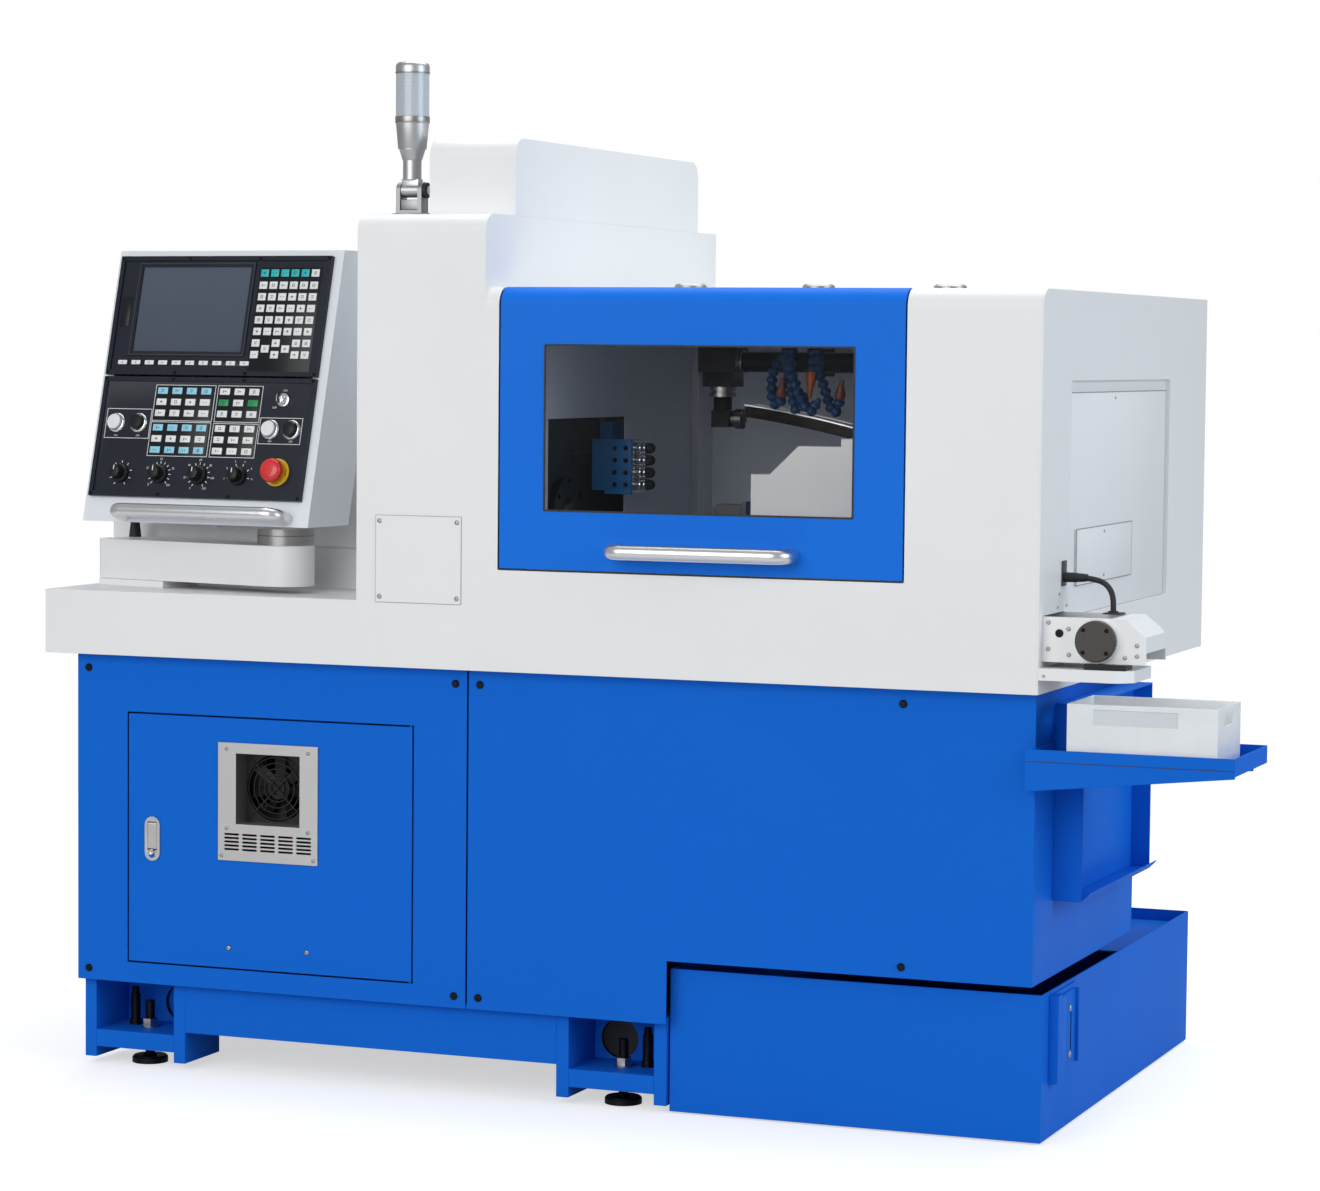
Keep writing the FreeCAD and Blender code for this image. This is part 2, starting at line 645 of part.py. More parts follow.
def beam_along_x(y, dy):
    """Channel between two legs, with its flange at the bottom."""
    x0, x1 = FRAME_LEFT + LEG_WIDTH, FRAME_RIGHT - LEG_WIDTH
    low = FRAME_TOP - BEAM_HEIGHT
    web = box(x0, x1, *span(y, dy, 0, BEAM_WEB), low, FRAME_TOP)
    flange = box(x0, x1, *span(y, dy, 0, BEAM_FLANGE), low, low + BEAM_WEB)
    return web.fuse(flange).removeSplitter()


def beam_along_y(x, dx):
    y0, y1 = FRAME_FRONT + LEG_DEPTH, FRAME_BACK - LEG_DEPTH
    low = FRAME_TOP - BEAM_HEIGHT
    web = box(*span(x, dx, 0, BEAM_WEB), y0, y1, low, FRAME_TOP)
    flange = box(*span(x, dx, 0, BEAM_FLANGE), y0, y1, low, low + BEAM_WEB)
    return web.fuse(flange).removeSplitter()


def base_frame():
    solids = []
    for place in leg_places():
        solids += leg(*place)
    solids += [beam_along_x(FRAME_FRONT, 1), beam_along_x(FRAME_BACK, -1)]
    solids += [beam_along_y(FRAME_LEFT, 1), beam_along_y(FRAME_RIGHT, -1)]
    return solids


def levelling_feet():
    """Four pads on their studs, and the jack bolt beside each."""
    solids = []
    chamfer = 3.0
    for x, dx, y, dy in leg_places():
        foot = (x + dx * FOOT_INSET, y + dy * FOOT_SETBACK, 0)
        solids.append(revolved([(0, 0), (PAD_RADIUS, 0), (PAD_RADIUS, PAD_HEIGHT - chamfer),
                                (PAD_RADIUS - chamfer, PAD_HEIGHT), (STUD_RADIUS + 5, PAD_HEIGHT),
                                (STUD_RADIUS, PAD_HEIGHT + 5), (STUD_RADIUS, STUD_HEIGHT),
                                (0, STUD_HEIGHT)], foot))
        jack = (x + dx * (FOOT_INSET - JACK_OFFSET), y + dy * JACK_SETBACK, FOOT_PLATE_TOP)
        solids.append(revolved([(0, 0), (JACK_RADIUS + 2, 0), (JACK_RADIUS + 2, 10), (JACK_RADIUS, 10),
                                (JACK_RADIUS, JACK_HEIGHT - 12), (JACK_RADIUS - 2, JACK_HEIGHT - 12),
                                (JACK_RADIUS - 2, JACK_HEIGHT), (0, JACK_HEIGHT)], jack))
    return solids


def foot_nuts():
    solids = []
    for x, y in foot_places():
        seat = FOOT_PLATE_TOP
        hexagon = [(x + NUT_WIDTH / math.sqrt(3) * math.cos(math.radians(60 * i)),
                    y + NUT_WIDTH / math.sqrt(3) * math.sin(math.radians(60 * i))) for i in range(6)]
        nut = slab_xy(hexagon, seat + WASHER, seat + WASHER + NUT_HEIGHT)
        washer = rod((x, y, seat), (x, y, seat + WASHER), WASHER_RADIUS)
        bore = rod((x, y, seat - 1), (x, y, seat + WASHER + NUT_HEIGHT + 1), STUD_RADIUS)
        solids.append(nut.fuse(washer).cut(bore))
    return solids


# ---- base cabinet ----
def cabinet_door_corners():
    x0 = CABINET_DOOR_LEFT
    z0 = FRAME_TOP + CABINET_DOOR_SILL
    return x0, x0 + CABINET_DOOR_WIDTH, z0, z0 + CABINET_DOOR_HEIGHT


def cabinet_panels():
    """Left front sheet with the opening for its door, right front sheet stepped over the tank."""
    x0, x1, z0, z1 = cabinet_door_corners()
    front, rear = BASE_FRONT, BASE_FRONT + SHEET
    left = box(BASE_LEFT, PANEL_SEAM - SEAM_GAP / 2, front, rear, FRAME_TOP, BASE_TOP)
    gap = DOOR_GAP
    left = left.cut(box(x0 - gap, x1 + gap, front - 1, rear + 1, z0 - gap, z1 + gap))
    notch = TANK_LEFT + DOOR_GAP
    seam = PANEL_SEAM + SEAM_GAP / 2
    right = slab_xz([(seam, FRAME_TOP), (notch, FRAME_TOP), (notch, OVERHANG_BOTTOM),
                     (BASE_RIGHT, OVERHANG_BOTTOM), (BASE_RIGHT, BASE_TOP), (seam, BASE_TOP)],
                    front, rear)
    return [left, right]


def chip_hole():
    return TANK_LEFT + CHIP_INSET, LINER_RIGHT - CHIP_END_GAP, CHIP_FRONT, CHIP_FRONT + CHIP_DEPTH


def cabinet_walls():
    """End, step and rear sheets, top and floor plates, and the duct that drops chips to the tank."""
    inside = BASE_FRONT + SHEET
    step = FRAME_RIGHT + SHEET
    walls = [box(BASE_LEFT, BASE_LEFT + SHEET, inside, BASE_BACK, FRAME_TOP, BASE_TOP),
             box(BASE_LEFT + SHEET, step, BASE_BACK - SHEET, BASE_BACK, FRAME_TOP, BASE_TOP),
             box(step - SHEET, step, OVERHANG_BACK, BASE_BACK - SHEET, FRAME_TOP, BASE_TOP),
             box(step, BASE_RIGHT, OVERHANG_BACK - SHEET, OVERHANG_BACK, OVERHANG_BOTTOM, BASE_TOP),
             box(BASE_RIGHT - SHEET, BASE_RIGHT, inside, OVERHANG_BACK - SHEET, OVERHANG_BOTTOM,
                 BASE_TOP)]
    x0, x1, y0, y1 = chip_hole()
    low, high = OVERHANG_BOTTOM, BASE_TOP
    top = high - BASE_PLATE
    right_plate = (step, BASE_RIGHT - SHEET, inside, OVERHANG_BACK - SHEET)
    walls += strips_round(*right_plate, top, high, (x0, x1, y0, y1))
    walls += strips_round(*right_plate, low, low + BASE_PLATE, (x0, x1, y0, y1))
    walls.append(box(BASE_LEFT + SHEET, step - SHEET, inside, BASE_BACK - SHEET, top, high))
    walls.append(box(BASE_LEFT + SHEET, step - SHEET, inside, BASE_BACK - SHEET, FRAME_TOP,
                     FRAME_TOP + BASE_PLATE))
    duct = (x0, x1, y0, y1, low + BASE_PLATE, top)
    walls += duct_walls(*duct)
    return walls


def duct_walls(x0, x1, y0, y1, z0, z1):
    """Four sheets round a rectangular shaft."""
    return [box(x0 - SHEET, x1 + SHEET, y0 - SHEET, y0, z0, z1),
            box(x0 - SHEET, x1 + SHEET, y1, y1 + SHEET, z0, z1),
            box(x0 - SHEET, x0, y0, y1, z0, z1), box(x1, x1 + SHEET, y0, y1, z0, z1)]


def panel_bolts():
    """Button heads that hold the two front sheets."""
    inset_x, inset_z = 22.0, 25.0
    high = SKIRT_BOTTOM - inset_z
    low = FRAME_TOP + 20
    places = [(BASE_LEFT + inset_x, high), (PANEL_SEAM - inset_x, high), (PANEL_SEAM + inset_x, high),
              (BASE_LEFT + inset_x, low), (PANEL_SEAM - inset_x, low), (PANEL_SEAM + inset_x, low),
              (BASE_RIGHT - 216, high), (BASE_RIGHT - 214, OVERHANG_BOTTOM + 18)]
    radius, rise = 6.5, 4.0
    return [revolved([(0, 0), (radius, 0), (radius, rise * 0.5), (radius * 0.7, rise), (0, rise)],
                     (x, BASE_FRONT, z), (0, -1, 0)) for x, z in places]


def service_frame():
    """Deep picture frame on the base's right side, with its inset panel."""
    x0, x1 = BASE_RIGHT, BASE_RIGHT + SERVICE_DEPTH
    y0, y1 = SERVICE_FRONT, SERVICE_FRONT + SERVICE_LENGTH
    z0 = OVERHANG_BOTTOM + SERVICE_SILL
    z1 = z0 + SERVICE_HEIGHT
    wall = SHEET
    flare = 12.0
    lip = slab_yz([(y0, z0 + wall), (y0, z0), (y1, z0), (y1, z0 + wall)], x0, x1)
    sill = slab_xz([(x1, z0), (x1 + flare, z0 + flare), (x1 + flare, z0 + flare + wall), (x1, z0 + wall)],
                   y0, y1)
    panel = box(x0, x0 + SERVICE_DEPTH / 3, y0 + wall, y1 - wall, z0 + wall, z1 - wall)
    return [lip.fuse(sill).removeSplitter(), box(x0, x1, y0, y1, z1 - wall, z1),
            box(x0, x1, y0, y0 + wall, z0 + wall, z1 - wall),
            box(x0, x1, y1 - wall, y1, z0 + wall, z1 - wall), panel]


# ---- electric cabinet door ----
def cabinet_hinge():
    x1 = cabinet_door_corners()[1]
    return x1 - CABINET_HINGE_PIN, BASE_FRONT + CABINET_HINGE_PIN


def cooler_corners():
    x0, _, z0, _ = cabinet_door_corners()
    return (x0 + COOLER_LEFT, x0 + COOLER_LEFT + COOLER_WIDTH, z0 + COOLER_SILL,
            z0 + COOLER_SILL + COOLER_HEIGHT)


def fan_centre():
    x0, x1, z0, _ = cooler_corners()
    return (x0 + x1) / 2, z0 + FAN_SILL + FAN_SIZE / 2


def latch_centre():
    x0, _, z0, _ = cabinet_door_corners()
    return x0 + LATCH_LEFT + LATCH_WIDTH / 2, z0 + LATCH_SILL + LATCH_HEIGHT / 2


def obround(x, z, width, height, y0, y1):
    """Upright slot shape with round ends."""
    radius = width / 2
    reach = height / 2 - radius
    body = box(x - radius, x + radius, y0, y1, z - reach, z + reach)
    for end in (z - reach, z + reach):
        body = body.fuse(rod((x, y0, end), (x, y1, end), radius))
    return body.removeSplitter()


def cabinet_door():
    """Folded door pan with its cut-outs, and two hinge pins at its right corners."""
    x0, x1, z0, z1 = cabinet_door_corners()
    front = BASE_FRONT
    pan = hollow(x0, x1, front, front + CABINET_DOOR_DEPTH, z0, z1, SHEET, "+y")
    fan_x, fan_z = fan_centre()
    half = FAN_SIZE / 2 + COOLER_PLATE
    pan = pan.cut(box(fan_x - half, fan_x + half, front - 1, front + SHEET + 1, fan_z - half,
                      fan_z + half))
    cx0, cx1, cz0, _ = cooler_corners()
    pan = pan.cut(box(cx0 + 8, cx1 - 8, front - 1, front + SHEET + 1, cz0 + 10, fan_z - half - 6))
    latch_x, latch_z = latch_centre()
    pan = pan.cut(obround(latch_x, latch_z, LATCH_WIDTH - 6, LATCH_HEIGHT - 6, front - 1,
                          front + SHEET + 1))
    hinge_x, hinge_y = cabinet_hinge()
    for low, high in ((z0 - DOOR_GAP + RUN_GAP, z0 + SHEET), (z1 - SHEET, z1 + DOOR_GAP - RUN_GAP)):
        pan = pan.fuse(rod((hinge_x, hinge_y, low), (hinge_x, hinge_y, high), CABINET_HINGE_PIN / 1.2))
    return [pan.removeSplitter()]


def latch_case():
    x, z = latch_centre()
    front = BASE_FRONT - LATCH_PLATE
    case = obround(x, z, LATCH_WIDTH, LATCH_HEIGHT, front, BASE_FRONT)
    case = case.fuse(obround(x, z, LATCH_WIDTH - 7, LATCH_HEIGHT - 7, BASE_FRONT,
                             BASE_FRONT + CABINET_DOOR_DEPTH))
    px0, px1, pz0, pz1 = paddle_corners()
    gap = RUN_GAP
    pocket = box(px0 - gap, px1 + gap, front - 1, BASE_FRONT + 9, pz0 - gap - 2, pz1 + gap)
    button = rod((x, front - 1.5, pz0 - 10), (x, front, pz0 - 10), PADDLE_WIDTH / 3)
    return [case.cut(pocket).fuse(button).removeSplitter()]


def paddle_corners():
    x, z = latch_centre()
    top = z + LATCH_HEIGHT / 2 - 9
    return x - PADDLE_WIDTH / 2, x + PADDLE_WIDTH / 2, top - PADDLE_HEIGHT, top


def paddle_pivot():
    return BASE_FRONT - LATCH_PLATE + 4.0, paddle_corners()[3] - 4.0


def latch_paddle():
    """Pull lever that swings out about its top edge."""
    x0, x1, z0, z1 = paddle_corners()
    front = BASE_FRONT - LATCH_PLATE
    y, z = paddle_pivot()
    lever = box(x0, x1, front, front + 4, z0, z)
    barrel = rod((x0, y, z), (x1, y, z), 4.0)
    return [lever.fuse(barrel).removeSplitter()]


def cooler_plate():
    """Cover plate with louvre slots and the square duct in front of the fan."""
    x0, x1, z0, z1 = cooler_corners()
    front, rear = BASE_FRONT - COOLER_PLATE, BASE_FRONT
    fan_x, fan_z = fan_centre()
    half = FAN_SIZE / 2
    plate = box(x0, x1, front, rear, z0, z1)
    deep = front + FAN_SETBACK + FAN_DEPTH / 2
    duct = box(fan_x - half - 2, fan_x + half + 2, rear, deep, fan_z - half - 2, fan_z + half + 2)
    plate = plate.fuse(duct)
    plate = plate.cut(box(fan_x - half, fan_x + half, front - 1, deep + 1, fan_z - half, fan_z + half))
    first_x = (x0 + x1) / 2 - SLOT_PITCH_X * (SLOT_COLUMNS - 1) / 2
    first_z = z0 + 18
    slots = [box(first_x + c * SLOT_PITCH_X - SLOT_LENGTH / 2, first_x + c * SLOT_PITCH_X + SLOT_LENGTH / 2,
                 front - 1, rear + 1, first_z + r * SLOT_PITCH_Z, first_z + r * SLOT_PITCH_Z + SLOT_HEIGHT)
             for c in range(SLOT_COLUMNS) for r in range(SLOT_ROWS)]
    return [plate.cut(Part.makeCompound(slots)).removeSplitter()]


def fan_guard():
    """Ring guard of the fan, and the square fan frame with the axle that carries the rotor."""
    x, z = fan_centre()
    front = BASE_FRONT - COOLER_PLATE + FAN_SETBACK
    wire = 2.0
    half = FAN_SIZE / 2
    rings = [tube((x, front, z), (x, front + wire, z), r + wire, r) for r in (12, 22, 32, 42, 52)]
    guard = rings[0]
    for ring in rings[1:]:
        guard = guard.fuse(ring)
    reach = half - 6
    for turn in (45, 135):
        bar = box(x - reach * 1.25, x + reach * 1.25, front, front + wire, z - wire / 2, z + wire / 2)
        bar.rotate(V(x, front, z), V(0, 1, 0), turn)
        guard = guard.fuse(bar)
    frame_front = front + wire
    frame_rear = frame_front + FAN_DEPTH
    frame = box(x - half, x + half, frame_front, frame_rear, z - half, z + half)
    frame = frame.cut(rod((x, frame_front - 1, z), (x, frame_rear - 4, z), half - 3))
    for turn in (0, 90, 180, 270):
        vent = box(x + 7, x + half - 9, frame_rear - 5, frame_rear + 1, z + 7, z + 32)
        vent.rotate(V(x, frame_front, z), V(0, 1, 0), turn)
        frame = frame.cut(vent)
    frame = frame.fuse(rod((x, frame_front + 5 + RUN_GAP, z), (x, frame_rear - 4, z), 4.0))
    return [guard.removeSplitter(), frame.removeSplitter()]


def fan_rotor():
    x, z = fan_centre()
    front = BASE_FRONT - COOLER_PLATE + FAN_SETBACK + 2.0 + 3.0
    depth = FAN_DEPTH - 9.0
    hub = rod((x, front, z), (x, front + depth, z), FAN_HUB)
    hub = hub.cut(rod((x, front + 2, z), (x, front + depth + 1, z), 4.0 + PIN_PLAY))
    tip = FAN_SIZE / 2 - 3 - FAN_TIP_GAP
    for i in range(FAN_BLADES):
        blade = box(-9, 9, -0.9, 0.9, FAN_HUB - 3, tip)
        blade.rotate(V(0, 0, 0), V(0, 0, 1), 28)
        blade.translate(V(x, front + depth / 2, z))
        blade.rotate(V(x, front, z), V(0, 1, 0), 360.0 * i / FAN_BLADES)
        hub = hub.fuse(blade)
    return [hub.removeSplitter()]


# ---- white housing ----
def housing_front():
    """One front sheet: skirt, column and door surround, folded back at both tops."""
    x1 = HOUSING_LENGTH - SHEET
    skirt = box(0, COLUMN_LEFT, 0, SHEET, SKIRT_BOTTOM, LEDGE)
    column = bent_sheet(COLUMN_LEFT + SHEET, COLUMN_RIGHT - SHEET, SKIRT_BOTTOM, COLUMN_TOP, BEND)
    inner = box(COLUMN_LEFT, COLUMN_LEFT + SHEET, 0, SHEET, SKIRT_BOTTOM, LEDGE)
    outer = box(COLUMN_RIGHT - SHEET, COLUMN_RIGHT, 0, SHEET, SKIRT_BOTTOM, HOUSING_TOP)
    side = bent_sheet(COLUMN_RIGHT, x1, SKIRT_BOTTOM, HOUSING_TOP, BEND)
    sheet = skirt.fuse([inner, column, outer, side])
    opening = box(DOOR_LEFT - DOOR_GAP, DOOR_RIGHT + DOOR_GAP, -1, BEND + 1, DOOR_BOTTOM - DOOR_GAP,
                  HOUSING_TOP + 1)
    return [sheet.cut(opening).removeSplitter()]


def hinge_knuckles(x0, x1, side):
    """Rolled knuckle on the edge of a top sheet: side is -1 on the door and +1 on the housing."""
    barrel = rod((x0, HINGE_Y, HINGE_Z), (x1, HINGE_Y, HINGE_Z), KNUCKLE_RADIUS)
    edge = HINGE_Y + side * (KNUCKLE_RADIUS + RUN_GAP + 1)
    tab = box(x0, x1, min(edge, HINGE_Y), max(edge, HINGE_Y), HOUSING_TOP - SHEET, HOUSING_TOP)
    return barrel.fuse(tab)


def hinge_starts():
    """Left ends of the door's own knuckle in each of the two hinges."""
    return [DOOR_LEFT + HINGE_INSET, DOOR_RIGHT - HINGE_INSET - KNUCKLE_LENGTH]


def housing_top():
    """Top sheets, with the fixed knuckles of the door's hinges and their pins."""
    low = HOUSING_TOP - SHEET
    x0, x1 = COLUMN_RIGHT, HOUSING_LENGTH - SHEET
    front = HINGE_Y + KNUCKLE_RADIUS + RUN_GAP
    main = box(x0, x1, front, HOUSING_DEPTH - SHEET, low, HOUSING_TOP)
    solids = [box(x0, DOOR_LEFT - DOOR_GAP, BEND, front, low, HOUSING_TOP),
              box(DOOR_RIGHT + DOOR_GAP, x1, BEND, front, low, HOUSING_TOP)]
    gap = RUN_GAP
    for start in hinge_starts():
        for left in (start - gap - KNUCKLE_LENGTH, start + KNUCKLE_LENGTH + gap):
            main = main.fuse(hinge_knuckles(left, left + KNUCKLE_LENGTH, 1))
        ends = start - gap - KNUCKLE_LENGTH, start + 2 * KNUCKLE_LENGTH + gap
        main = main.cut(rod((ends[0] - 1, HINGE_Y, HINGE_Z), (ends[1] + 1, HINGE_Y, HINGE_Z), HINGE_PIN))
        solids.append(rod((ends[0], HINGE_Y, HINGE_Z), (ends[1], HINGE_Y, HINGE_Z), HINGE_PIN))
    return [main.removeSplitter()] + solids


def housing_shell():
    """Deck, rear, bottom and column sheets behind the front sheet."""
    t = SHEET
    back, column_back = HOUSING_DEPTH, COLUMN_DEPTH
    end = HOUSING_LENGTH - t
    low = SKIRT_BOTTOM
    margin = PANEL_FIT
    hole_front, hole_back = BED_FRONT - margin, BED_FRONT + BED_DEPTH + margin
    hole_top = LEDGE + HEAD_COVER_HEIGHT - HEAD_COVER_LAP
    sheets = [box(0, COLUMN_LEFT, t, hole_front, LEDGE - t, LEDGE),
              box(0, BED_LEFT - margin, hole_front, hole_back, LEDGE - t, LEDGE),
              box(0, COLUMN_LEFT, hole_back, column_back - t, LEDGE - t, LEDGE),
              box(0, t, t, column_back, low, LEDGE - t),
              box(t, COLUMN_LEFT, column_back - t, column_back, low, LEDGE - t),
              end_sheet(COLUMN_LEFT, COLUMN_LEFT + t, hole_front, LEDGE, COLUMN_TOP),
              box(COLUMN_LEFT, COLUMN_LEFT + t, hole_front, hole_back, hole_top, COLUMN_TOP),
              box(COLUMN_LEFT, COLUMN_LEFT + t, hole_back, column_back, LEDGE, COLUMN_TOP),
              box(COLUMN_RIGHT - t, COLUMN_RIGHT, t, BEND, HOUSING_TOP - BEND, HOUSING_TOP),
              end_sheet(COLUMN_RIGHT - t, COLUMN_RIGHT, column_back, HOUSING_TOP, COLUMN_TOP),
              box(COLUMN_LEFT + t, COLUMN_RIGHT - t, column_back - t, column_back, low, COLUMN_TOP - t),
              box(COLUMN_LEFT + t, COLUMN_RIGHT - t, BEND, column_back, COLUMN_TOP - t, COLUMN_TOP),
              box(COLUMN_RIGHT - t, COLUMN_RIGHT, column_back - t, back, low, HOUSING_TOP - t),
              box(COLUMN_RIGHT, end, back - t, back, low, HOUSING_TOP - t)]
    step = FRAME_RIGHT + SHEET + margin
    sheets += [box(t, end, t, BASE_FRONT - margin, low, low + t),
               box(t, BASE_LEFT - margin, BASE_FRONT - margin, column_back - t, low, low + t),
               box(BASE_RIGHT + margin, end, BASE_FRONT - margin, OVERHANG_BACK + margin, low, low + t),
               box(BASE_LEFT - margin, step, BASE_BACK + margin, column_back - t, low, low + t),
               box(step, end, OVERHANG_BACK + margin, back - t, low, low + t)]
    return sheets


def recess_corners():
    y0 = RECESS_FRONT
    z0 = LEDGE + RECESS_SILL
    return y0, y0 + RECESS_LENGTH, z0, z0 + RECESS_HEIGHT


def conveyor_corners():
    y0 = CONVEYOR_FRONT
    return y0, y0 + CONVEYOR_WIDTH, CONVEYOR_BOTTOM, CONVEYOR_BOTTOM + CONVEYOR_HEIGHT


def housing_end():
    """Right end sheet: a deep recess for the cover, and the slot that the conveyor leaves by."""
    t = SHEET
    x0, x1 = HOUSING_LENGTH - t, HOUSING_LENGTH
    sheet = end_sheet(x0, x1, HOUSING_DEPTH, SKIRT_BOTTOM, HOUSING_TOP)
    y0, y1, z0, z1 = recess_corners()
    sheet = sheet.cut(box(x0 - 1, x1 + 1, y0, y1, z0, z1))
    frame = box(x1 - RECESS_DEPTH - t, x0, y0 - t, y1 + t, z0 - t, z1 + t)
    frame = frame.cut(box(x1 - RECESS_DEPTH - t - 1, x0 + 1, y0, y1, z0, z1))
    y0, y1, z0, z1 = conveyor_corners()
    slot = box(x0 - 1, x1 + 1, y0 - RUN_GAP, y1 + RUN_GAP, z0 - RUN_GAP, z1 + RUN_GAP)
    return [sheet.fuse(frame).cut(slot).removeSplitter()]


def cover_plates():
    """Large end cover in the recess, small cover on it, and the square plate on the column."""
    x1 = HOUSING_LENGTH - RECESS_DEPTH
    y0, y1, z0, z1 = recess_corners()
    large = box(x1 - SHEET, x1, y0, y1, z0, z1)
    sy, sz = SMALL_COVER_FRONT, LEDGE + SMALL_COVER_SILL
    small = box(x1, x1 + 2 * COVER_PLATE, sy, sy + SMALL_COVER_LENGTH, sz, sz + SMALL_COVER_HEIGHT)
    px = COLUMN_LEFT + COLUMN_PLATE_LEFT
    pz = LEDGE + COLUMN_PLATE_SILL
    plate = box(px, px + COLUMN_PLATE_WIDTH, -COVER_PLATE, 0, pz, pz + COLUMN_PLATE_HEIGHT)
    return [large, small, plate]


def top_caps():
    """Round plugs on the housing's top."""
    first = DOOR_LEFT + CAP_INSET
    pitch = (HOUSING_LENGTH - CAP_END_GAP - first) / (CAP_COUNT - 1)
    return [revolved([(0, 0), (CAP_RADIUS, 0), (CAP_RADIUS, CAP_HEIGHT - 3),
                      (CAP_RADIUS - 4, CAP_HEIGHT), (0, CAP_HEIGHT)],
                     (first + i * pitch, CAP_Y, HOUSING_TOP)) for i in range(CAP_COUNT)]


def hump_cover():
    """Raised cover on the column, with long bends at its front and rear."""
    x0, x1 = COLUMN_LEFT + HUMP_INSET, COLUMN_RIGHT
    y0, y1 = HUMP_FRONT, COLUMN_DEPTH - HUMP_REAR_INSET
    top = COLUMN_TOP + HUMP_RISE
    outer = box(x0, x1, y0, y1, COLUMN_TOP, top)
    outer = round_edges(outer, BEND, "x", y=y0, z=top)
    outer = round_edges(outer, BEND, "x", y=y1, z=top)
    t = SHEET
    inner = box(x0 + t, x1 - t, y0 + t, y1 - t, COLUMN_TOP - 1, top - t)
    inner = round_edges(inner, BEND - t, "x", y=y0 + t, z=top - t)
    inner = round_edges(inner, BEND - t, "x", y=y1 - t, z=top - t)
    return [outer.cut(inner)]


def headstock_cover():
    """Apron, lift-off hood and end cap over the headstock, and the ring where the bar comes in."""
    x0, x1 = HEAD_COVER_LEFT, COLUMN_LEFT
    y0, y1 = HEAD_COVER_FRONT, COLUMN_DEPTH - HEAD_COVER_REAR_INSET
    z0, z1 = LEDGE, LEDGE + HEAD_COVER_HEIGHT
    seam = z0 + HEAD_COVER_SEAM
    cap = x0 + HEAD_COVER_CAP
    gap = SEAM_GAP
    t = SHEET
    lip = hollow(x0 + t, x1, y0 + t, y1 - t, seam - HEAD_COVER_LIP, seam + gap + HEAD_COVER_LIP, t,
                 "-z +z +x")
    apron = hollow(x0, x1, y0, y1, z0, seam, t, "-z +z +x").fuse(lip).removeSplitter()
    hood = hollow(cap + 1, x1, y0, y1, seam + gap, z1, SHEET, "-z +x -x")
    end = hollow(x0, cap, y0, y1, seam + gap, z1, SHEET, "-z +x")
    end = round_edges(end, 8.0, "x", y=y0, z=z1)
    hood = round_edges(hood, 8.0, "x", y=y0, z=z1)
    centre = SPINDLE_Y, SPINDLE_Z
    hole = rod((x0 - 1, *centre), (x0 + SHEET + 1, *centre), BAR_RING_BORE)
    ring = tube((x0 - BAR_RING_DEPTH, *centre), (x0, *centre), BAR_RING_RADIUS, BAR_RING_BORE)
    return [apron, hood, end.cut(hole), ring]


# ---- front door ----
def front_door():
    """Folded door that wraps over the housing's top, with its rolled hinge knuckles."""
    x0, x1 = DOOR_LEFT, DOOR_RIGHT
    skin = bent_sheet(x0, x1, DOOR_BOTTOM, HOUSING_TOP, DOOR_HOOD)
    thick = bent_sheet(x0, x1, DOOR_BOTTOM, HOUSING_TOP, DOOR_HOOD, wall=DOOR_RETURN)
    left = thick.common(box(x0, x0 + SHEET, -1, DOOR_HOOD, DOOR_BOTTOM, HOUSING_TOP))
    right = thick.common(box(x1 - SHEET, x1, -1, DOOR_HOOD, DOOR_BOTTOM, HOUSING_TOP))
    sill = box(x0, x1, 0, DOOR_RETURN, DOOR_BOTTOM, DOOR_BOTTOM + SHEET)
    door = skin.fuse([left, right, sill])
    for start in hinge_starts():
        door = door.fuse(hinge_knuckles(start, start + KNUCKLE_LENGTH, -1))
        door = door.cut(rod((start - 1, HINGE_Y, HINGE_Z), (start + KNUCKLE_LENGTH + 1, HINGE_Y, HINGE_Z),
                            HINGE_PIN + PIN_PLAY))
    wx, wz = x0 + WINDOW_LEFT, DOOR_BOTTOM + WINDOW_SILL
    door = door.cut(box(wx, wx + WINDOW_WIDTH, -1, SHEET + 1, wz, wz + WINDOW_HEIGHT))
    return [door.removeSplitter()]


def door_window():
    x0 = DOOR_LEFT + WINDOW_LEFT - WINDOW_LAP
    z0 = DOOR_BOTTOM + WINDOW_SILL - WINDOW_LAP
    return [box(x0, x0 + WINDOW_WIDTH + 2 * WINDOW_LAP, SHEET, SHEET + WINDOW_PANE, z0,
                z0 + WINDOW_HEIGHT + 2 * WINDOW_LAP)]


def door_handle():
    x0 = DOOR_LEFT + HANDLE_LEFT + HANDLE_RADIUS
    x1 = x0 + HANDLE_LENGTH - 2 * HANDLE_RADIUS
    z = DOOR_BOTTOM + HANDLE_SILL + HANDLE_RADIUS / 2
    y = -HANDLE_REACH
    return [bent_bar([(x0, 0, z), (x0, y, z), (x1, y, z), (x1, 0, z)], HANDLE_RADIUS, HANDLE_BEND)]


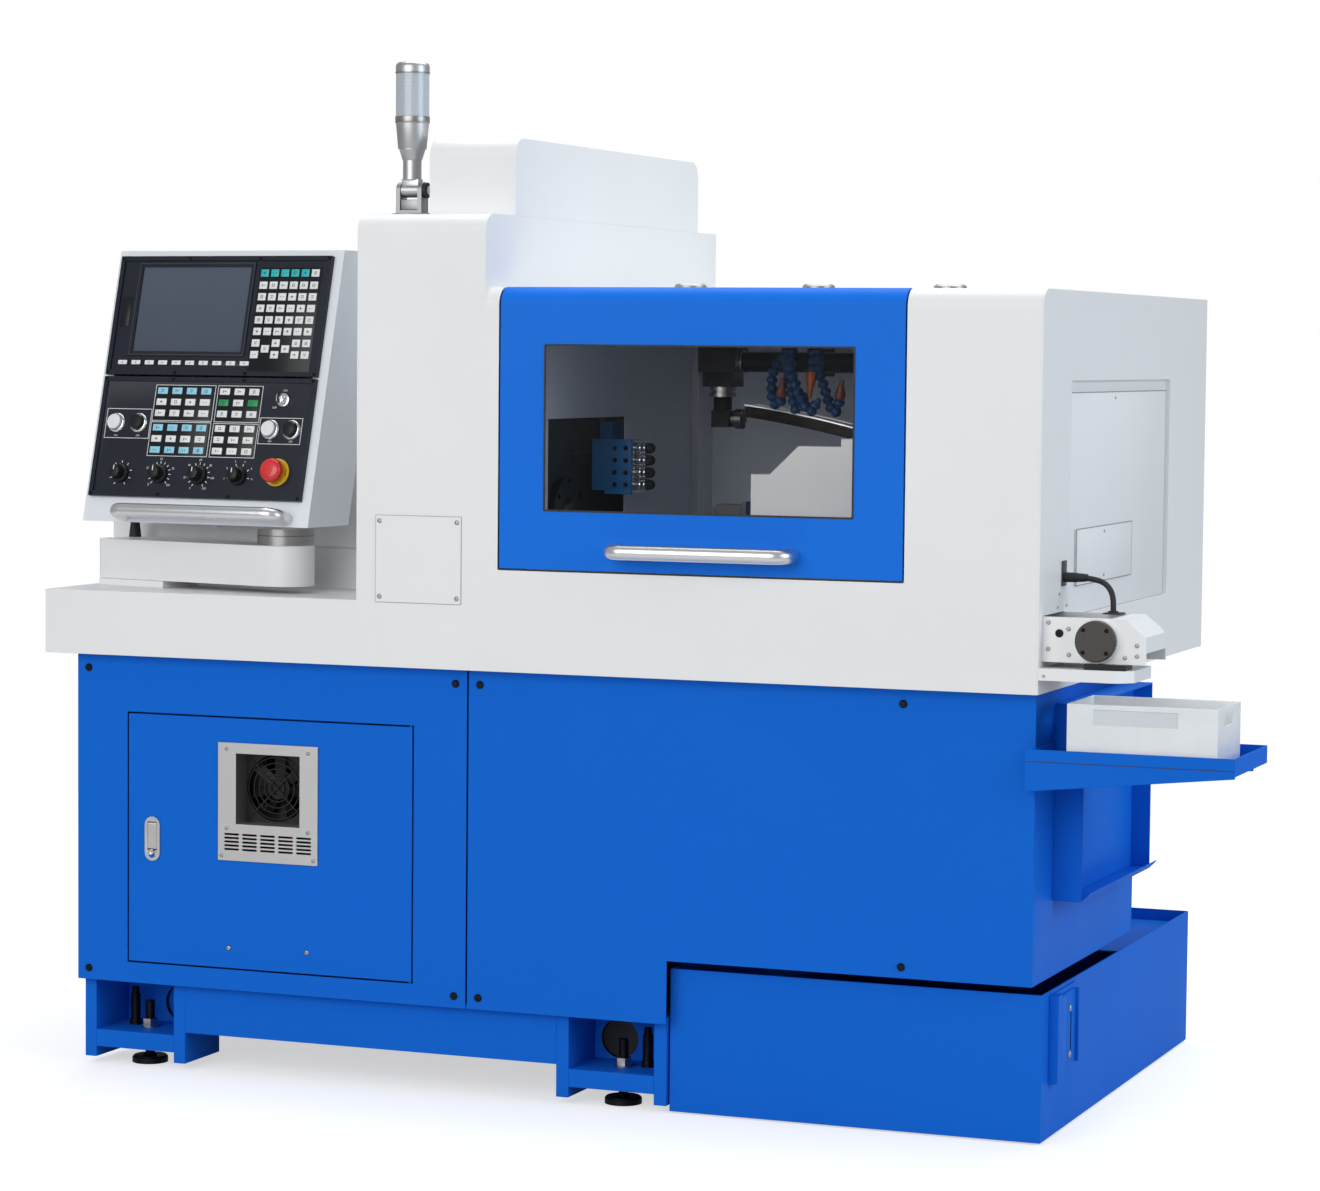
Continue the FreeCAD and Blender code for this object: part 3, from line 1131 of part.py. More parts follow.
# ---- working area ----
def chamber_liner():
    """Grey inner sheets: walls, roof, floor with the chip opening, corner post and parts chute."""
    t = SHEET
    x0, x1 = LINER_LEFT, LINER_RIGHT
    y0, y1 = LINER_SETBACK, LINER_BACK
    z0, z1 = LINER_FLOOR, LINER_ROOF
    ty0, ty1 = 110.0, TOOL_BLOCK_FRONT + TOOL_BLOCK_DEPTH + 12
    tz0 = SPINDLE_Z - 30
    tz1 = SPINDLE_Z + TOOL_BLOCK_LIFT + TOOL_BLOCK_HEIGHT + 39
    left = [box(x0, x0 + t, y0, ty0, z0, z1), box(x0, x0 + t, ty1, y1, z0, z1),
            box(x0, x0 + t, ty0, ty1, z0, tz0), box(x0, x0 + t, ty0, ty1, tz1, z1)]
    arm_x0, arm_x1, _, arm_z0, arm_z1 = driven_arm()
    gap = 6.0
    rear = [box(x0 + t, arm_x0 - gap, y1 - t, y1, z0, z1), box(arm_x1 + gap, x1 - t, y1 - t, y1, z0, z1),
            box(arm_x0 - gap, arm_x1 + gap, y1 - t, y1, z0, arm_z0 - HEAD_TRAVEL - gap)]
    out_y0, out_y1 = CHUTE_FRONT, CHUTE_FRONT + CHUTE_WIDTH
    out_z0, out_z1 = SPINDLE_Z + CHUTE_OUTLET - 25, SPINDLE_Z + CHUTE_OUTLET + 60
    right = [box(x1 - t, x1, y0, out_y0, z0, z1), box(x1 - t, x1, out_y1, y1, z0, z1),
             box(x1 - t, x1, out_y0, out_y1, z0, out_z0), box(x1 - t, x1, out_y0, out_y1, out_z1, z1)]
    roof = [box(x0, x1, y0, y1, z1, z1 + t)]
    cx0, cx1, cy0, cy1 = chip_hole()
    bed = (SUB_BED_LEFT - 1, SUB_BED_RIGHT + 1, SPINDLE_Y - SUB_BED_HALF - 1,
           SPINDLE_Y + SUB_BED_HALF + 1)
    middle = (bed[3] + cy0) / 2
    floor = strips_round(x0, x1, y0, middle, z0 - t, z0, bed)
    floor += strips_round(x0, x1, middle, y1, z0 - t, z0, (cx0, cx1, cy0, cy1))
    shaft = duct_walls(cx0, cx1, cy0, cy1, BASE_TOP, z0 - t)
    post = [box(x0 + t, x0 + t + POST_DEPTH, y1 - t - POST_WIDTH, y1 - t, z0, z1)]
    return left + rear + right + roof + floor + shaft + post + [parts_chute()]


def parts_chute():
    """Curved slide that carries finished parts to the right."""
    x0, x1 = driven_arm()[0], LINER_RIGHT
    high, low = SPINDLE_Z + CHUTE_RISE, SPINDLE_Z + CHUTE_OUTLET
    y0, y1 = CHUTE_FRONT, CHUTE_FRONT + CHUTE_WIDTH
    middle = (x0 + (x1 - x0) * 0.5, high - (high - low) * 0.36)
    t = SHEET
    def edge(drop):
        return Part.Arc(V(x0, y0, high - drop), V(middle[0], y0, middle[1] - drop),
                        V(x1, y0, low - drop)).toShape()
    sides = [Part.LineSegment(V(x0, y0, high), V(x0, y0, high - t)).toShape(),
             Part.LineSegment(V(x1, y0, low), V(x1, y0, low - t)).toShape()]
    face = Part.Face(Part.Wire(Part.__sortEdges__([edge(0), edge(t)] + sides)))
    return face.extrude(V(0, y1 - y0, 0))


def machine_bed():
    """Bed with its rails, bridge that carries the tool slides, rear column and sub-spindle bed."""
    y0, y1 = BED_FRONT, BED_FRONT + BED_DEPTH
    top = BASE_TOP + BED_HEIGHT
    inset = 12.0
    bed = box(BED_LEFT, BRIDGE_LEFT, y0, y1, BASE_TOP, top)
    for y in (y0 + inset, y1 - inset - RAIL):
        bed = bed.fuse(box(BED_LEFT, BRIDGE_LEFT, y, y + RAIL, top, top + RAIL))
    ceiling = HOUSING_TOP - BRIDGE_HEADROOM
    bridge = box(BRIDGE_LEFT, BRIDGE_RIGHT, BRIDGE_FRONT, BRIDGE_BACK, BASE_TOP, ceiling)
    bore = rod((BRIDGE_LEFT - 1, SPINDLE_Y, SPINDLE_Z), (BRIDGE_RIGHT + 1, SPINDLE_Y, SPINDLE_Z), BUSH_SEAT)
    rear_y = REAR_COLUMN_FRONT
    rear = box(REAR_COLUMN_LEFT, REAR_COLUMN_LEFT + REAR_COLUMN_WIDTH, rear_y, rear_y + REAR_COLUMN_DEPTH,
               BASE_TOP, LINER_ROOF)
    low, high = SPINDLE_Y - SUB_BED_HALF, SPINDLE_Y + SUB_BED_HALF
    x0, x1 = SUB_BED_LEFT, SUB_BED_RIGHT
    sub_top = LINER_FLOOR + SUB_BED_RISE
    inset = 8.0
    sub = box(x0, x1, low, high, BASE_TOP, sub_top)
    for y in (low + inset, high - inset - RAIL):
        sub = sub.fuse(box(x0, x1, y, y + RAIL, sub_top, sub_top + RAIL / 2))
    return [bed.removeSplitter(), bridge.cut(bore), rear, sub.removeSplitter()]


def guide_bush():
    face = BRIDGE_RIGHT
    points = [(BUSH_BORE, -BUSH_BODY), (BUSH_SEAT, -BUSH_BODY), (BUSH_SEAT, 0), (BUSH_FLANGE, 0),
              (BUSH_FLANGE, BUSH_FLANGE_DEPTH), (BUSH_NOSE, BUSH_FLANGE_DEPTH),
              (BUSH_NOSE - 4, BUSH_FLANGE_DEPTH + BUSH_NOSE_LENGTH),
              (BUSH_BORE, BUSH_FLANGE_DEPTH + BUSH_NOSE_LENGTH)]
    return [revolved(points, (face, SPINDLE_Y, SPINDLE_Z), (1, 0, 0))]


def headstock():
    """Sliding headstock on the bed rails, bored for the spindle."""
    x0, x1 = HEADSTOCK_LEFT, HEADSTOCK_LEFT + HEADSTOCK_LENGTH
    rail_top = BASE_TOP + BED_HEIGHT + RAIL
    body = box(x0, x1, SPINDLE_Y - HEADSTOCK_HALF, SPINDLE_Y + HEADSTOCK_HALF, rail_top + 30,
               SPINDLE_Z + HEADSTOCK_HALF)
    saddle = box(x0, x1, BED_FRONT + 8, BED_FRONT + BED_DEPTH - 8, rail_top + RUN_GAP, rail_top + 30)
    bore = rod((x0 - 1, SPINDLE_Y, SPINDLE_Z), (x1 + 1, SPINDLE_Y, SPINDLE_Z), SPINDLE_RADIUS + PIN_PLAY)
    return [body.fuse(saddle).cut(bore).removeSplitter()]


def main_spindle():
    """Hollow spindle with collars that keep it in the headstock."""
    collar = SPINDLE_RADIUS + 8
    x0 = HEADSTOCK_LEFT - SPINDLE_LEFT
    x1 = x0 + HEADSTOCK_LENGTH
    gap, thick = RUN_GAP, 12.0
    points = [(SPINDLE_BORE, 0), (SPINDLE_RADIUS - 6, 0), (SPINDLE_RADIUS - 6, x0 - gap - thick),
              (collar, x0 - gap - thick), (collar, x0 - gap), (SPINDLE_RADIUS, x0 - gap),
              (SPINDLE_RADIUS, x1 + gap), (collar, x1 + gap), (collar, x1 + gap + thick),
              (SPINDLE_RADIUS, x1 + gap + thick), (SPINDLE_RADIUS, SPINDLE_LENGTH - 40),
              (SPINDLE_RADIUS - 10, SPINDLE_LENGTH), (SPINDLE_BORE, SPINDLE_LENGTH)]
    return [revolved(points, (SPINDLE_LEFT, SPINDLE_Y, SPINDLE_Z), (1, 0, 0))]


def tool_block_corners():
    x0 = BRIDGE_RIGHT + TOOL_BLOCK_LEFT
    z0 = SPINDLE_Z + TOOL_BLOCK_LIFT
    return x0, x0 + TOOL_BLOCK_WIDTH, TOOL_BLOCK_FRONT, TOOL_BLOCK_FRONT + TOOL_BLOCK_DEPTH, z0, \
        z0 + TOOL_BLOCK_HEIGHT


def cross_slide():
    """Plate that carries the tool block across the machine on the bridge's right face."""
    _, _, _, y1, z0, z1 = tool_block_corners()
    x0 = BRIDGE_RIGHT + SLIDE_RAIL + RUN_GAP
    front = y1 + SLIDE_GAP
    return [box(x0, x0 + SLIDE_PLATE, front, front + SLIDE_LENGTH, z0 + SLIDE_SILL, z1 + SLIDE_RISE)]


def slide_rails():
    """Rails under the cross slide on the bridge, and under the driven head on the rear column."""
    _, _, _, y1, z0, z1 = tool_block_corners()
    front = y1 + SLIDE_GAP
    rails = [box(BRIDGE_RIGHT, BRIDGE_RIGHT + SLIDE_RAIL, front - RAIL_LEAD, front + SLIDE_LENGTH + RAIL_MARGIN,
                 z, z + RAIL)
             for z in (z0 + SLIDE_SILL + RAIL_MARGIN, z1 + SLIDE_RISE - RAIL_MARGIN - RAIL)]
    arm_x0, arm_x1, rear, arm_z0, arm_z1 = driven_arm()
    low = rear + HEAD_PLATE + RUN_GAP
    for x in (arm_x0 - HEAD_PLATE_LEFT + 4, arm_x1 + HEAD_PLATE_RIGHT - 4 - RAIL):
        rails.append(box(x, x + RAIL, low, REAR_COLUMN_FRONT, arm_z0 - HEAD_TRAVEL - 10, arm_z1))
    return rails


def tool_block():
    """Blue gang block on its arm, with four drill sleeves."""
    x0, x1, y0, y1, z0, z1 = tool_block_corners()
    face = BRIDGE_RIGHT + SLIDE_RAIL + RUN_GAP + SLIDE_PLATE + RUN_GAP
    block = box(x0, x1, y0, y1, z0, z1)
    arm = box(face, x0, y0 + 5, y1, z0 + 4, z1)
    tail = box(face, face + 22, y1, y1 + 90, z0 + 4, z1 + 30)
    block = block.fuse([arm, tail])
    first = (z0 + z1) / 2 - SLEEVE_PITCH * (TOOL_SLEEVES - 1) / 2
    middle = (y0 + y1) / 2
    sleeves = []
    for i in range(TOOL_SLEEVES):
        z = first + i * SLEEVE_PITCH
        block = block.cut(rod((x0 - 1, middle, z), (x1 + 1, middle, z), SLEEVE_RADIUS - 2))
        sleeve = revolved([(SLEEVE_BORE, -TOOL_BLOCK_WIDTH), (SLEEVE_RADIUS - 2, -TOOL_BLOCK_WIDTH),
                           (SLEEVE_RADIUS - 2, 0), (SLEEVE_RADIUS, 0), (SLEEVE_RADIUS, SLEEVE_LENGTH - 9),
                           (SLEEVE_RADIUS - 3, SLEEVE_LENGTH), (SLEEVE_BORE, SLEEVE_LENGTH)],
                          (x1, middle, z), (1, 0, 0))
        sleeves.append(sleeve)
    return [block.removeSplitter()] + sleeves


def driven_arm():
    """Arm from the driven head back to its slide: x0, x1, rear y, z0, z1."""
    half = 17.0
    return DRIVEN_X - half, DRIVEN_X + half, REAR_COLUMN_FRONT - 32, LINER_ROOF - 52, LINER_ROOF - 6


def driven_head():
    """Head block on its arm, horizontal motor, chrome collars and the right-angle spindle housing."""
    half = DRIVEN_WIDTH / 2
    low = LINER_ROOF - DRIVEN_DROP
    x0, x1, rear, z0, z1 = driven_arm()
    block = box(DRIVEN_X - half, DRIVEN_X + half, DRIVEN_Y - half, DRIVEN_Y + half, low, z1)
    block = block.fuse(box(DRIVEN_X - half + 6, DRIVEN_X + half - 6, DRIVEN_Y - half + 6,
                           DRIVEN_Y + half - 6, low - 24, low))
    block = block.fuse(box(x0, x1, DRIVEN_Y + half, rear, z0, z1))
    block = block.fuse(box(x0 - HEAD_PLATE_LEFT, x1 + HEAD_PLATE_RIGHT, rear, rear + HEAD_PLATE, z0, z1))
    drop = low - 24
    turned = revolved([(0, 0), (22, 0), (22, -7), (18, -7), (18, -10), (22, -10), (22, -17), (16, -17),
                       (16, -44), (0, -44)], (DRIVEN_X, DRIVEN_Y, drop))
    elbow = box(DRIVEN_X - 15, DRIVEN_X + 17, DRIVEN_Y - 15, DRIVEN_Y + 15, drop - 68, drop - 40)
    motor_z = low + 18
    motor = revolved([(0, 0), (MOTOR_RADIUS + 3, 0), (MOTOR_RADIUS + 3, 5), (MOTOR_RADIUS, 5),
                      (MOTOR_RADIUS, MOTOR_LENGTH), (0, MOTOR_LENGTH)],
                     (DRIVEN_X + half, DRIVEN_Y, motor_z), (1, 0, 0))
    return [block.removeSplitter(), turned.fuse(elbow).removeSplitter(), motor]


def cutter_place():
    return DRIVEN_X + 17, DRIVEN_Y, LINER_ROOF - DRIVEN_DROP - 24 - 54


def driven_cutter():
    """Side cutter on the right-angle head, turned about its horizontal axis."""
    x, y, z = cutter_place()
    gap = RUN_GAP
    body = revolved([(0, gap), (CUTTER_RADIUS - 5, gap), (CUTTER_RADIUS - 5, 8), (CUTTER_RADIUS, 8),
                     (CUTTER_RADIUS, 20), (CUTTER_RADIUS - 4, 20), (0, 20)], (x, y, z), (1, 0, 0))
    for i in range(6):
        notch = box(x + 8, x + 21, y - 3, y + 3, z + CUTTER_RADIUS - 5, z + CUTTER_RADIUS + 1)
        notch.rotate(V(x, y, z), V(1, 0, 0), 60 * i)
        body = body.cut(notch)
    return [body]


def sub_spindle():
    """Sub-spindle housing on its saddle, and the parts catcher on its bracket."""
    x0, x1 = SUB_LEFT, SUB_LEFT + SUB_LENGTH
    rail_top = LINER_FLOOR + SUB_BED_RISE + RAIL / 2
    y0, y1 = SPINDLE_Y - SUB_HALF, SPINDLE_Y + SUB_HALF
    body = box(x0, x1, y0, y1, rail_top + 22, SPINDLE_Z + SUB_HALF)
    body = round_edges(body, 14.0, "x", y=y0, z=SPINDLE_Z + SUB_HALF)
    saddle = box(x0, x1, SPINDLE_Y - SUB_BED_HALF + 4, SPINDLE_Y + SUB_BED_HALF - 4, rail_top + RUN_GAP,
                 rail_top + 22)
    body = body.fuse(saddle)
    body = body.cut(rod((x0 - 1, SPINDLE_Y, SPINDLE_Z), (x1 + 1, SPINDLE_Y, SPINDLE_Z),
                        20 + PIN_PLAY))
    cy0, cy1 = SPINDLE_Y - 50, SPINDLE_Y - 42
    left = x0 - 104
    arm = box(left, x0, cy0, cy1, SPINDLE_Z - 40, SPINDLE_Z - 12)
    plate = box(left, left + 9, cy0, cy0 + 40, SPINDLE_Z - 40, SPINDLE_Z + 26)
    body = body.fuse([arm, plate]).removeSplitter()
    scoop = slab_xz([(left - 50, SPINDLE_Z - 20), (left, SPINDLE_Z - 20), (left, SPINDLE_Z + 21),
                     (left - 44, SPINDLE_Z + 21), (left - 50, SPINDLE_Z + 14)], cy0, cy0 + 34)
    return [body, scoop]


def sub_chuck():
    """Sub-spindle shaft with its collet chuck."""
    length = SUB_LENGTH + RUN_GAP
    points = [(SPINDLE_BORE, -CHUCK_LENGTH), (CHUCK_RADIUS - 12, -CHUCK_LENGTH),
              (CHUCK_RADIUS, -CHUCK_LENGTH + 16), (CHUCK_RADIUS, -RUN_GAP), (20, -RUN_GAP),
              (20, length), (30, length), (30, length + 10), (SPINDLE_BORE, length + 10)]
    return [revolved(points, (SUB_LEFT, SPINDLE_Y, SPINDLE_Z), (1, 0, 0))]


def spindle_guard():
    """White stepped sheet in front of the sub-spindle, with its edges folded back."""
    x0, x1 = SUB_LEFT - GUARD_REACH, LINER_RIGHT - SHEET
    z0 = LINER_FLOOR
    brow = x0 + GUARD_NOSE + GUARD_SLOPE
    step = brow + GUARD_SHOULDER

    def outline(inset):
        low, middle, top = (SPINDLE_Z + rise - inset for rise in (GUARD_LOW, GUARD_MIDDLE, GUARD_TOP))
        slant = inset * 0.4
        return [(x0 + inset, z0 - inset), (x0 + inset, low), (x0 + GUARD_NOSE + slant, low),
                (brow + slant, middle), (step + inset, middle), (step + inset, top),
                (x1 + inset, top), (x1 + inset, z0 - inset)]
    y0, y1 = GUARD_FRONT, GUARD_FRONT + GUARD_DEPTH
    shell = slab_xz(outline(0), y0, y1).cut(slab_xz(outline(SHEET), y0 + SHEET, y1 + 1))
    return [shell]


def coolant_hoses():
    """Modular hoses hanging from their manifold, each curling up to a nozzle."""
    top = LINER_ROOF - MANIFOLD_HEIGHT
    x0 = DRIVEN_X + HOSE_OFFSET
    manifold = box(x0 - MANIFOLD_MARGIN, x0 + HOSE_PITCH * (HOSE_COUNT - 1) + HOSE_CURL + MANIFOLD_MARGIN,
                   HOSE_Y - MANIFOLD_HALF, HOSE_Y + MANIFOLD_HALF, top, LINER_ROOF)
    solids = [manifold]
    for i in range(HOSE_COUNT):
        x = x0 + i * HOSE_PITCH
        low = top - HOSE_DROP - HOSE_STAGGER * (i % 2)
        lean = x + (HOSE_LEAN if i % 2 else -0.7 * HOSE_LEAN)
        solids.append(bent_bar([(x, HOSE_Y, top), (lean, HOSE_Y, (top + low) / 2),
                                (lean + HOSE_CURL / 6, HOSE_Y - HOSE_CURL / 6, low),
                                (lean + HOSE_CURL, HOSE_Y - HOSE_CURL * 0.65, low + HOSE_RISE / 6),
                                (lean + HOSE_CURL * 0.9, HOSE_Y - HOSE_CURL, low + HOSE_RISE)],
                               HOSE_RADIUS, HOSE_BEND))
    return solids


# ---- signal lamp ----
def lamp_bracket():
    z0 = COLUMN_TOP
    x, y = LAMP_X, LAMP_Y
    half = LAMP_POLE_RADIUS
    gap = RUN_GAP
    eye = LAMP_LUG_RADIUS + 2
    foot, seat_top = z0 + 5, z0 + 11
    wide = half + LAMP_EAR
    flange = rod((x, y, z0), (x, y, foot), LAMP_FLANGE_RADIUS)
    seat = box(x - wide, x + wide, y - eye, y + eye, foot, seat_top)
    pivot = z0 + LAMP_PIVOT
    body = flange.fuse(seat)
    for side in (-1, 1):
        low, high = sorted((x + side * (half + gap), x + side * wide))
        ear = box(low, high, y - eye, y + eye, seat_top, pivot)
        ear = ear.fuse(rod((low, y, pivot), (high, y, pivot), eye))
        body = body.fuse(ear)
    pin = rod((x - wide, y, pivot), (x + wide + LAMP_KNOB, y, pivot), LAMP_PIN)
    knob = rod((x + wide, y, pivot), (x + wide + LAMP_KNOB, y, pivot), 2 * LAMP_PIN)
    return [body.cut(pin).removeSplitter(), pin.fuse(knob).removeSplitter()]


def lamp_pole():
    """Folding pole with its cone and ring, and the cap on top of the lens."""
    x, y = LAMP_X, LAMP_Y
    pivot = COLUMN_TOP + LAMP_PIVOT
    half = LAMP_POLE_RADIUS
    eye = LAMP_LUG_RADIUS
    lug = box(x - half, x + half, y - eye, y + eye, pivot, pivot + LAMP_LUG)
    lug = lug.fuse(rod((x - half, y, pivot), (x + half, y, pivot), eye))
    stem = revolved([(0, LAMP_LUG - 2), (half, LAMP_LUG - 2), (half, LAMP_STEM), (LAMP_RADIUS - 5, LAMP_CONE),
                     (LAMP_RADIUS - 3, LAMP_SLEEVE), (LAMP_RADIUS, LAMP_RING), (LAMP_RADIUS, LENS_FOOT),
                     (0, LENS_FOOT)], (x, y, pivot))
    body = lug.fuse(stem).cut(rod((x - half - 1, y, pivot), (x + half + 1, y, pivot), LAMP_PIN + PIN_PLAY))
    round_top = 6.0
    cap = revolved([(0, LENS_TOP), (LAMP_RADIUS, LENS_TOP), (LAMP_RADIUS, LAMP_TOP - round_top),
                    (LAMP_RADIUS - round_top, LAMP_TOP), (0, LAMP_TOP)], (x, y, pivot))
    return [body.removeSplitter(), cap]


def lamp_lens():
    radius = LAMP_RADIUS - LENS_INSET
    return [revolved([(0, LENS_FOOT), (radius, LENS_FOOT), (radius, LENS_TOP), (0, LENS_TOP)],
                     (LAMP_X, LAMP_Y, COLUMN_TOP + LAMP_PIVOT))]


# ---- swing arm ----
def arm_frame(solids):
    """Turn pieces drawn along +x from the pivot into the arm's resting place."""
    place = FreeCAD.Placement(V(ARM_PIVOT_X, ARM_PIVOT_Y, LEDGE), FreeCAD.Rotation(V(0, 0, 1), ARM_YAW))
    for solid in solids:
        solid.Placement = place.multiply(solid.Placement)
    return solids


def arm_base():
    half = ARM_WIDTH / 2 - 2
    plate = box(-half - 8, half + 44, -half, half, 0, ARM_BASE)
    pin = rod((0, 0, ARM_BASE), (0, 0, ARM_BASE + ARM_HEIGHT / 2), ARM_PIN)
    return arm_frame([plate.fuse(pin).removeSplitter()])


def swing_arm():
    """Arm with a round right end, and the lower swivel ring on it."""
    half = ARM_WIDTH / 2
    z0 = ARM_BASE + RUN_GAP
    z1 = z0 + ARM_HEIGHT
    bar = box(-ARM_TAIL, ARM_REACH, -half, half, z0, z1)
    bar = round_edges(bar, 12.0, "z", x=-ARM_TAIL)
    bar = bar.fuse(rod((ARM_REACH, 0, z0), (ARM_REACH, 0, z1), half)).removeSplitter()
    bar = bar.cut(rod((0, 0, z0 - 1), (0, 0, ARM_BASE + ARM_HEIGHT / 2 + RUN_GAP), ARM_PIN + PIN_PLAY))
    ring = rod((ARM_REACH, 0, z1), (ARM_REACH, 0, z1 + RING_HEIGHT), RING_RADIUS)
    ring = ring.fuse(rod((ARM_REACH, 0, z1), (ARM_REACH, 0, z1 + RING_HEIGHT + 8), RING_SPIGOT))
    boot = revolved([(0, 0), (11, 0), (9, 18), (7, 34), (0, 34)], (-ARM_TAIL + 16, half - 16, z1))
    return arm_frame([bar, ring.removeSplitter(), boot])


# ---- control pendant ----
def ring_place():
    turn = math.radians(ARM_YAW)
    return (ARM_PIVOT_X + ARM_REACH * math.cos(turn), ARM_PIVOT_Y + ARM_REACH * math.sin(turn),
            LEDGE + ARM_BASE + RUN_GAP + ARM_HEIGHT + RING_HEIGHT)


def pendant_frame(solids):
    """Place pieces drawn from the case's lower left front corner: x right, y back, z up."""
    x, y, z = ring_place()
    turn = math.radians(CASE_YAW)
    away = V(CASE_RING_X * math.cos(turn) - CASE_RING_Y * math.sin(turn),
             CASE_RING_X * math.sin(turn) + CASE_RING_Y * math.cos(turn), 0)
    corner = V(x, y, z + RUN_GAP + RING_HEIGHT) - away
    place = FreeCAD.Placement(corner, FreeCAD.Rotation(V(0, 0, 1), CASE_YAW))
    for solid in solids:
        solid.Placement = place.multiply(solid.Placement)
    return solids


def panel_frame(solids):
    """Place pieces drawn flat (x right, y up the slope, z outwards) on the sloping front."""
    slope = FreeCAD.Placement(V(0, 0, 0), FreeCAD.Rotation(V(1, 0, 0), 90 - CASE_TILT))
    for solid in solids:
        solid.Placement = slope.multiply(solid.Placement)
    return pendant_frame(solids)


def case_outline(inset):
    """Side outline of the case: upright depth is constant, and front and back slope alike."""
    rise = CASE_SLANT * math.cos(math.radians(CASE_TILT))
    lean = math.tan(math.radians(CASE_TILT))
    side = inset / math.cos(math.radians(CASE_TILT))

    def at(z):
        return z * lean
    z0, z1 = inset, rise - inset
    return [(at(z0) + side, z0), (at(z0) + CASE_DEPTH - side, z0), (at(z1) + CASE_DEPTH - side, z1),
            (at(z1) + side, z1)]


def pendant_case():
    """Welded case of sloping sheets, open behind the units, with the upper swivel ring and its plate."""
    t = SHEET
    outer, inner = case_outline(0), case_outline(t)
    sheets = [slab_yz(outer, 0, t), slab_yz(outer, CASE_WIDTH - t, CASE_WIDTH)]
    for i, j in ((0, 1), (1, 2), (2, 3)):
        sheets.append(slab_yz([outer[i], outer[j], inner[j], inner[i]], t, CASE_WIDTH - t))
    margin = 12.0
    x0, x1 = UNIT_LEFT + margin, UNIT_LEFT + UNIT_WIDTH - margin
    y0, y1 = OPERATOR_SILL + margin, DISPLAY_SILL + UNIT_HEIGHT - margin
    front = slab_yz([outer[3], outer[0], inner[0], inner[3]], t, CASE_WIDTH - t)
    slope = FreeCAD.Placement(V(0, 0, 0), FreeCAD.Rotation(V(1, 0, 0), 90 - CASE_TILT))
    for hole in ((0, CASE_WIDTH, -t, y0), (0, CASE_WIDTH, y1, CASE_SLANT + t), (0, x0, y0, y1),
                 (x1, CASE_WIDTH, y0, y1)):
        strip = box(*hole, -2 * t, t)
        strip.Placement = slope
        sheets.append(front.common(strip))
    plate = 6.0
    ring = tube((CASE_RING_X, CASE_RING_Y, -RING_HEIGHT), (CASE_RING_X, CASE_RING_Y, -plate), RING_RADIUS,
                RING_SPIGOT + PIN_PLAY)
    adapter = box(CASE_RING_X - RING_RADIUS - 62, CASE_RING_X + RING_RADIUS, CASE_RING_Y - 42,
                  CASE_RING_Y + 42, -plate, 0)
    return pendant_frame(sheets + [ring, adapter])


def rimmed_plate(sill):
    """Black unit: flat plate with a raised rim."""
    x0, x1 = UNIT_LEFT, UNIT_LEFT + UNIT_WIDTH
    y0, y1 = sill, sill + UNIT_HEIGHT
    rim, high = UNIT_RIM, UNIT_DEPTH + UNIT_RIM_RISE
    return box(x0, x1, y0, y1, 0, high).cut(box(x0 + rim, x1 - rim, y0 + rim, y1 - rim, UNIT_DEPTH,
                                                high + 1))


def control_units():
    """Display unit with a frame round its screen, and operator unit bored for its controls."""
    display = rimmed_plate(DISPLAY_SILL)
    x0, x1 = SCREEN_LEFT, SCREEN_LEFT + SCREEN_WIDTH
    y0, y1 = SCREEN_SILL, SCREEN_SILL + SCREEN_HEIGHT
    frame = 8.0
    display = display.fuse(box(x0 - frame, x1 + frame, y0 - frame, y1 + frame, UNIT_DEPTH,
                               UNIT_DEPTH + 2))
    display = display.cut(box(x0, x1, y0, y1, UNIT_DEPTH - 2, UNIT_DEPTH + 3)).removeSplitter()
    operator = rimmed_plate(OPERATOR_SILL)
    holes = [(x, y, BUTTON_RADIUS + BUTTON_PLAY) for x, y in BUTTON_PLACES]
    holes += [(x, KNOB_SILL, 3.0 + PIN_PLAY) for x in knob_centres()]
    holes += [(STOP_X, STOP_SILL, 8.0 + BUTTON_PLAY), (KEY_X, KEY_SILL, 6.0 + PIN_PLAY)]
    for x, y, radius in holes:
        operator = operator.cut(rod((x, y, -1), (x, y, UNIT_DEPTH + 1), radius))
    return panel_frame([display, operator.removeSplitter()])


def display_screen():
    x0, y0 = SCREEN_LEFT, SCREEN_SILL
    return panel_frame([box(x0, x0 + SCREEN_WIDTH, y0, y0 + SCREEN_HEIGHT, UNIT_DEPTH - 2,
                            UNIT_DEPTH - 0.5)])


def key_film(centres, key, margin):
    """Embossed membrane: thin film with a raised pad at each key."""
    half_x, half_y = key[0] / 2, key[1] / 2
    low = min(x for x, y in centres) - half_x - margin, min(y for x, y in centres) - half_y - margin
    high = max(x for x, y in centres) + half_x + margin, max(y for x, y in centres) + half_y + margin
    top = UNIT_DEPTH + KEY_FILM
    film = box(low[0], high[0], low[1], high[1], UNIT_DEPTH, top)
    pads = [box(x - half_x, x + half_x, y - half_y, y + half_y, top, top + KEY_RISE) for x, y in centres]
    return film.fuse(pads).removeSplitter()


def display_key_centres():
    """Six columns by eight rows; the last two rows leave room for a diamond of arrow keys."""
    first_x, pitch = DISPLAY_KEY_LEFT, DISPLAY_PITCH[0]
    rows = [DISPLAY_KEY_TOP] + [DISPLAY_KEY_NEXT - DISPLAY_PITCH[1] * i for i in range(7)]
    keys = [(first_x + c * pitch, y) for y in rows[:6] for c in range(6)]
    keys += [(first_x + c * pitch, y) for y in rows[6:] for c in (0, 2, 4, 5)]
    middle = (rows[6] + rows[7]) / 2
    return keys + [(first_x + c * pitch, middle) for c in (1, 3)]


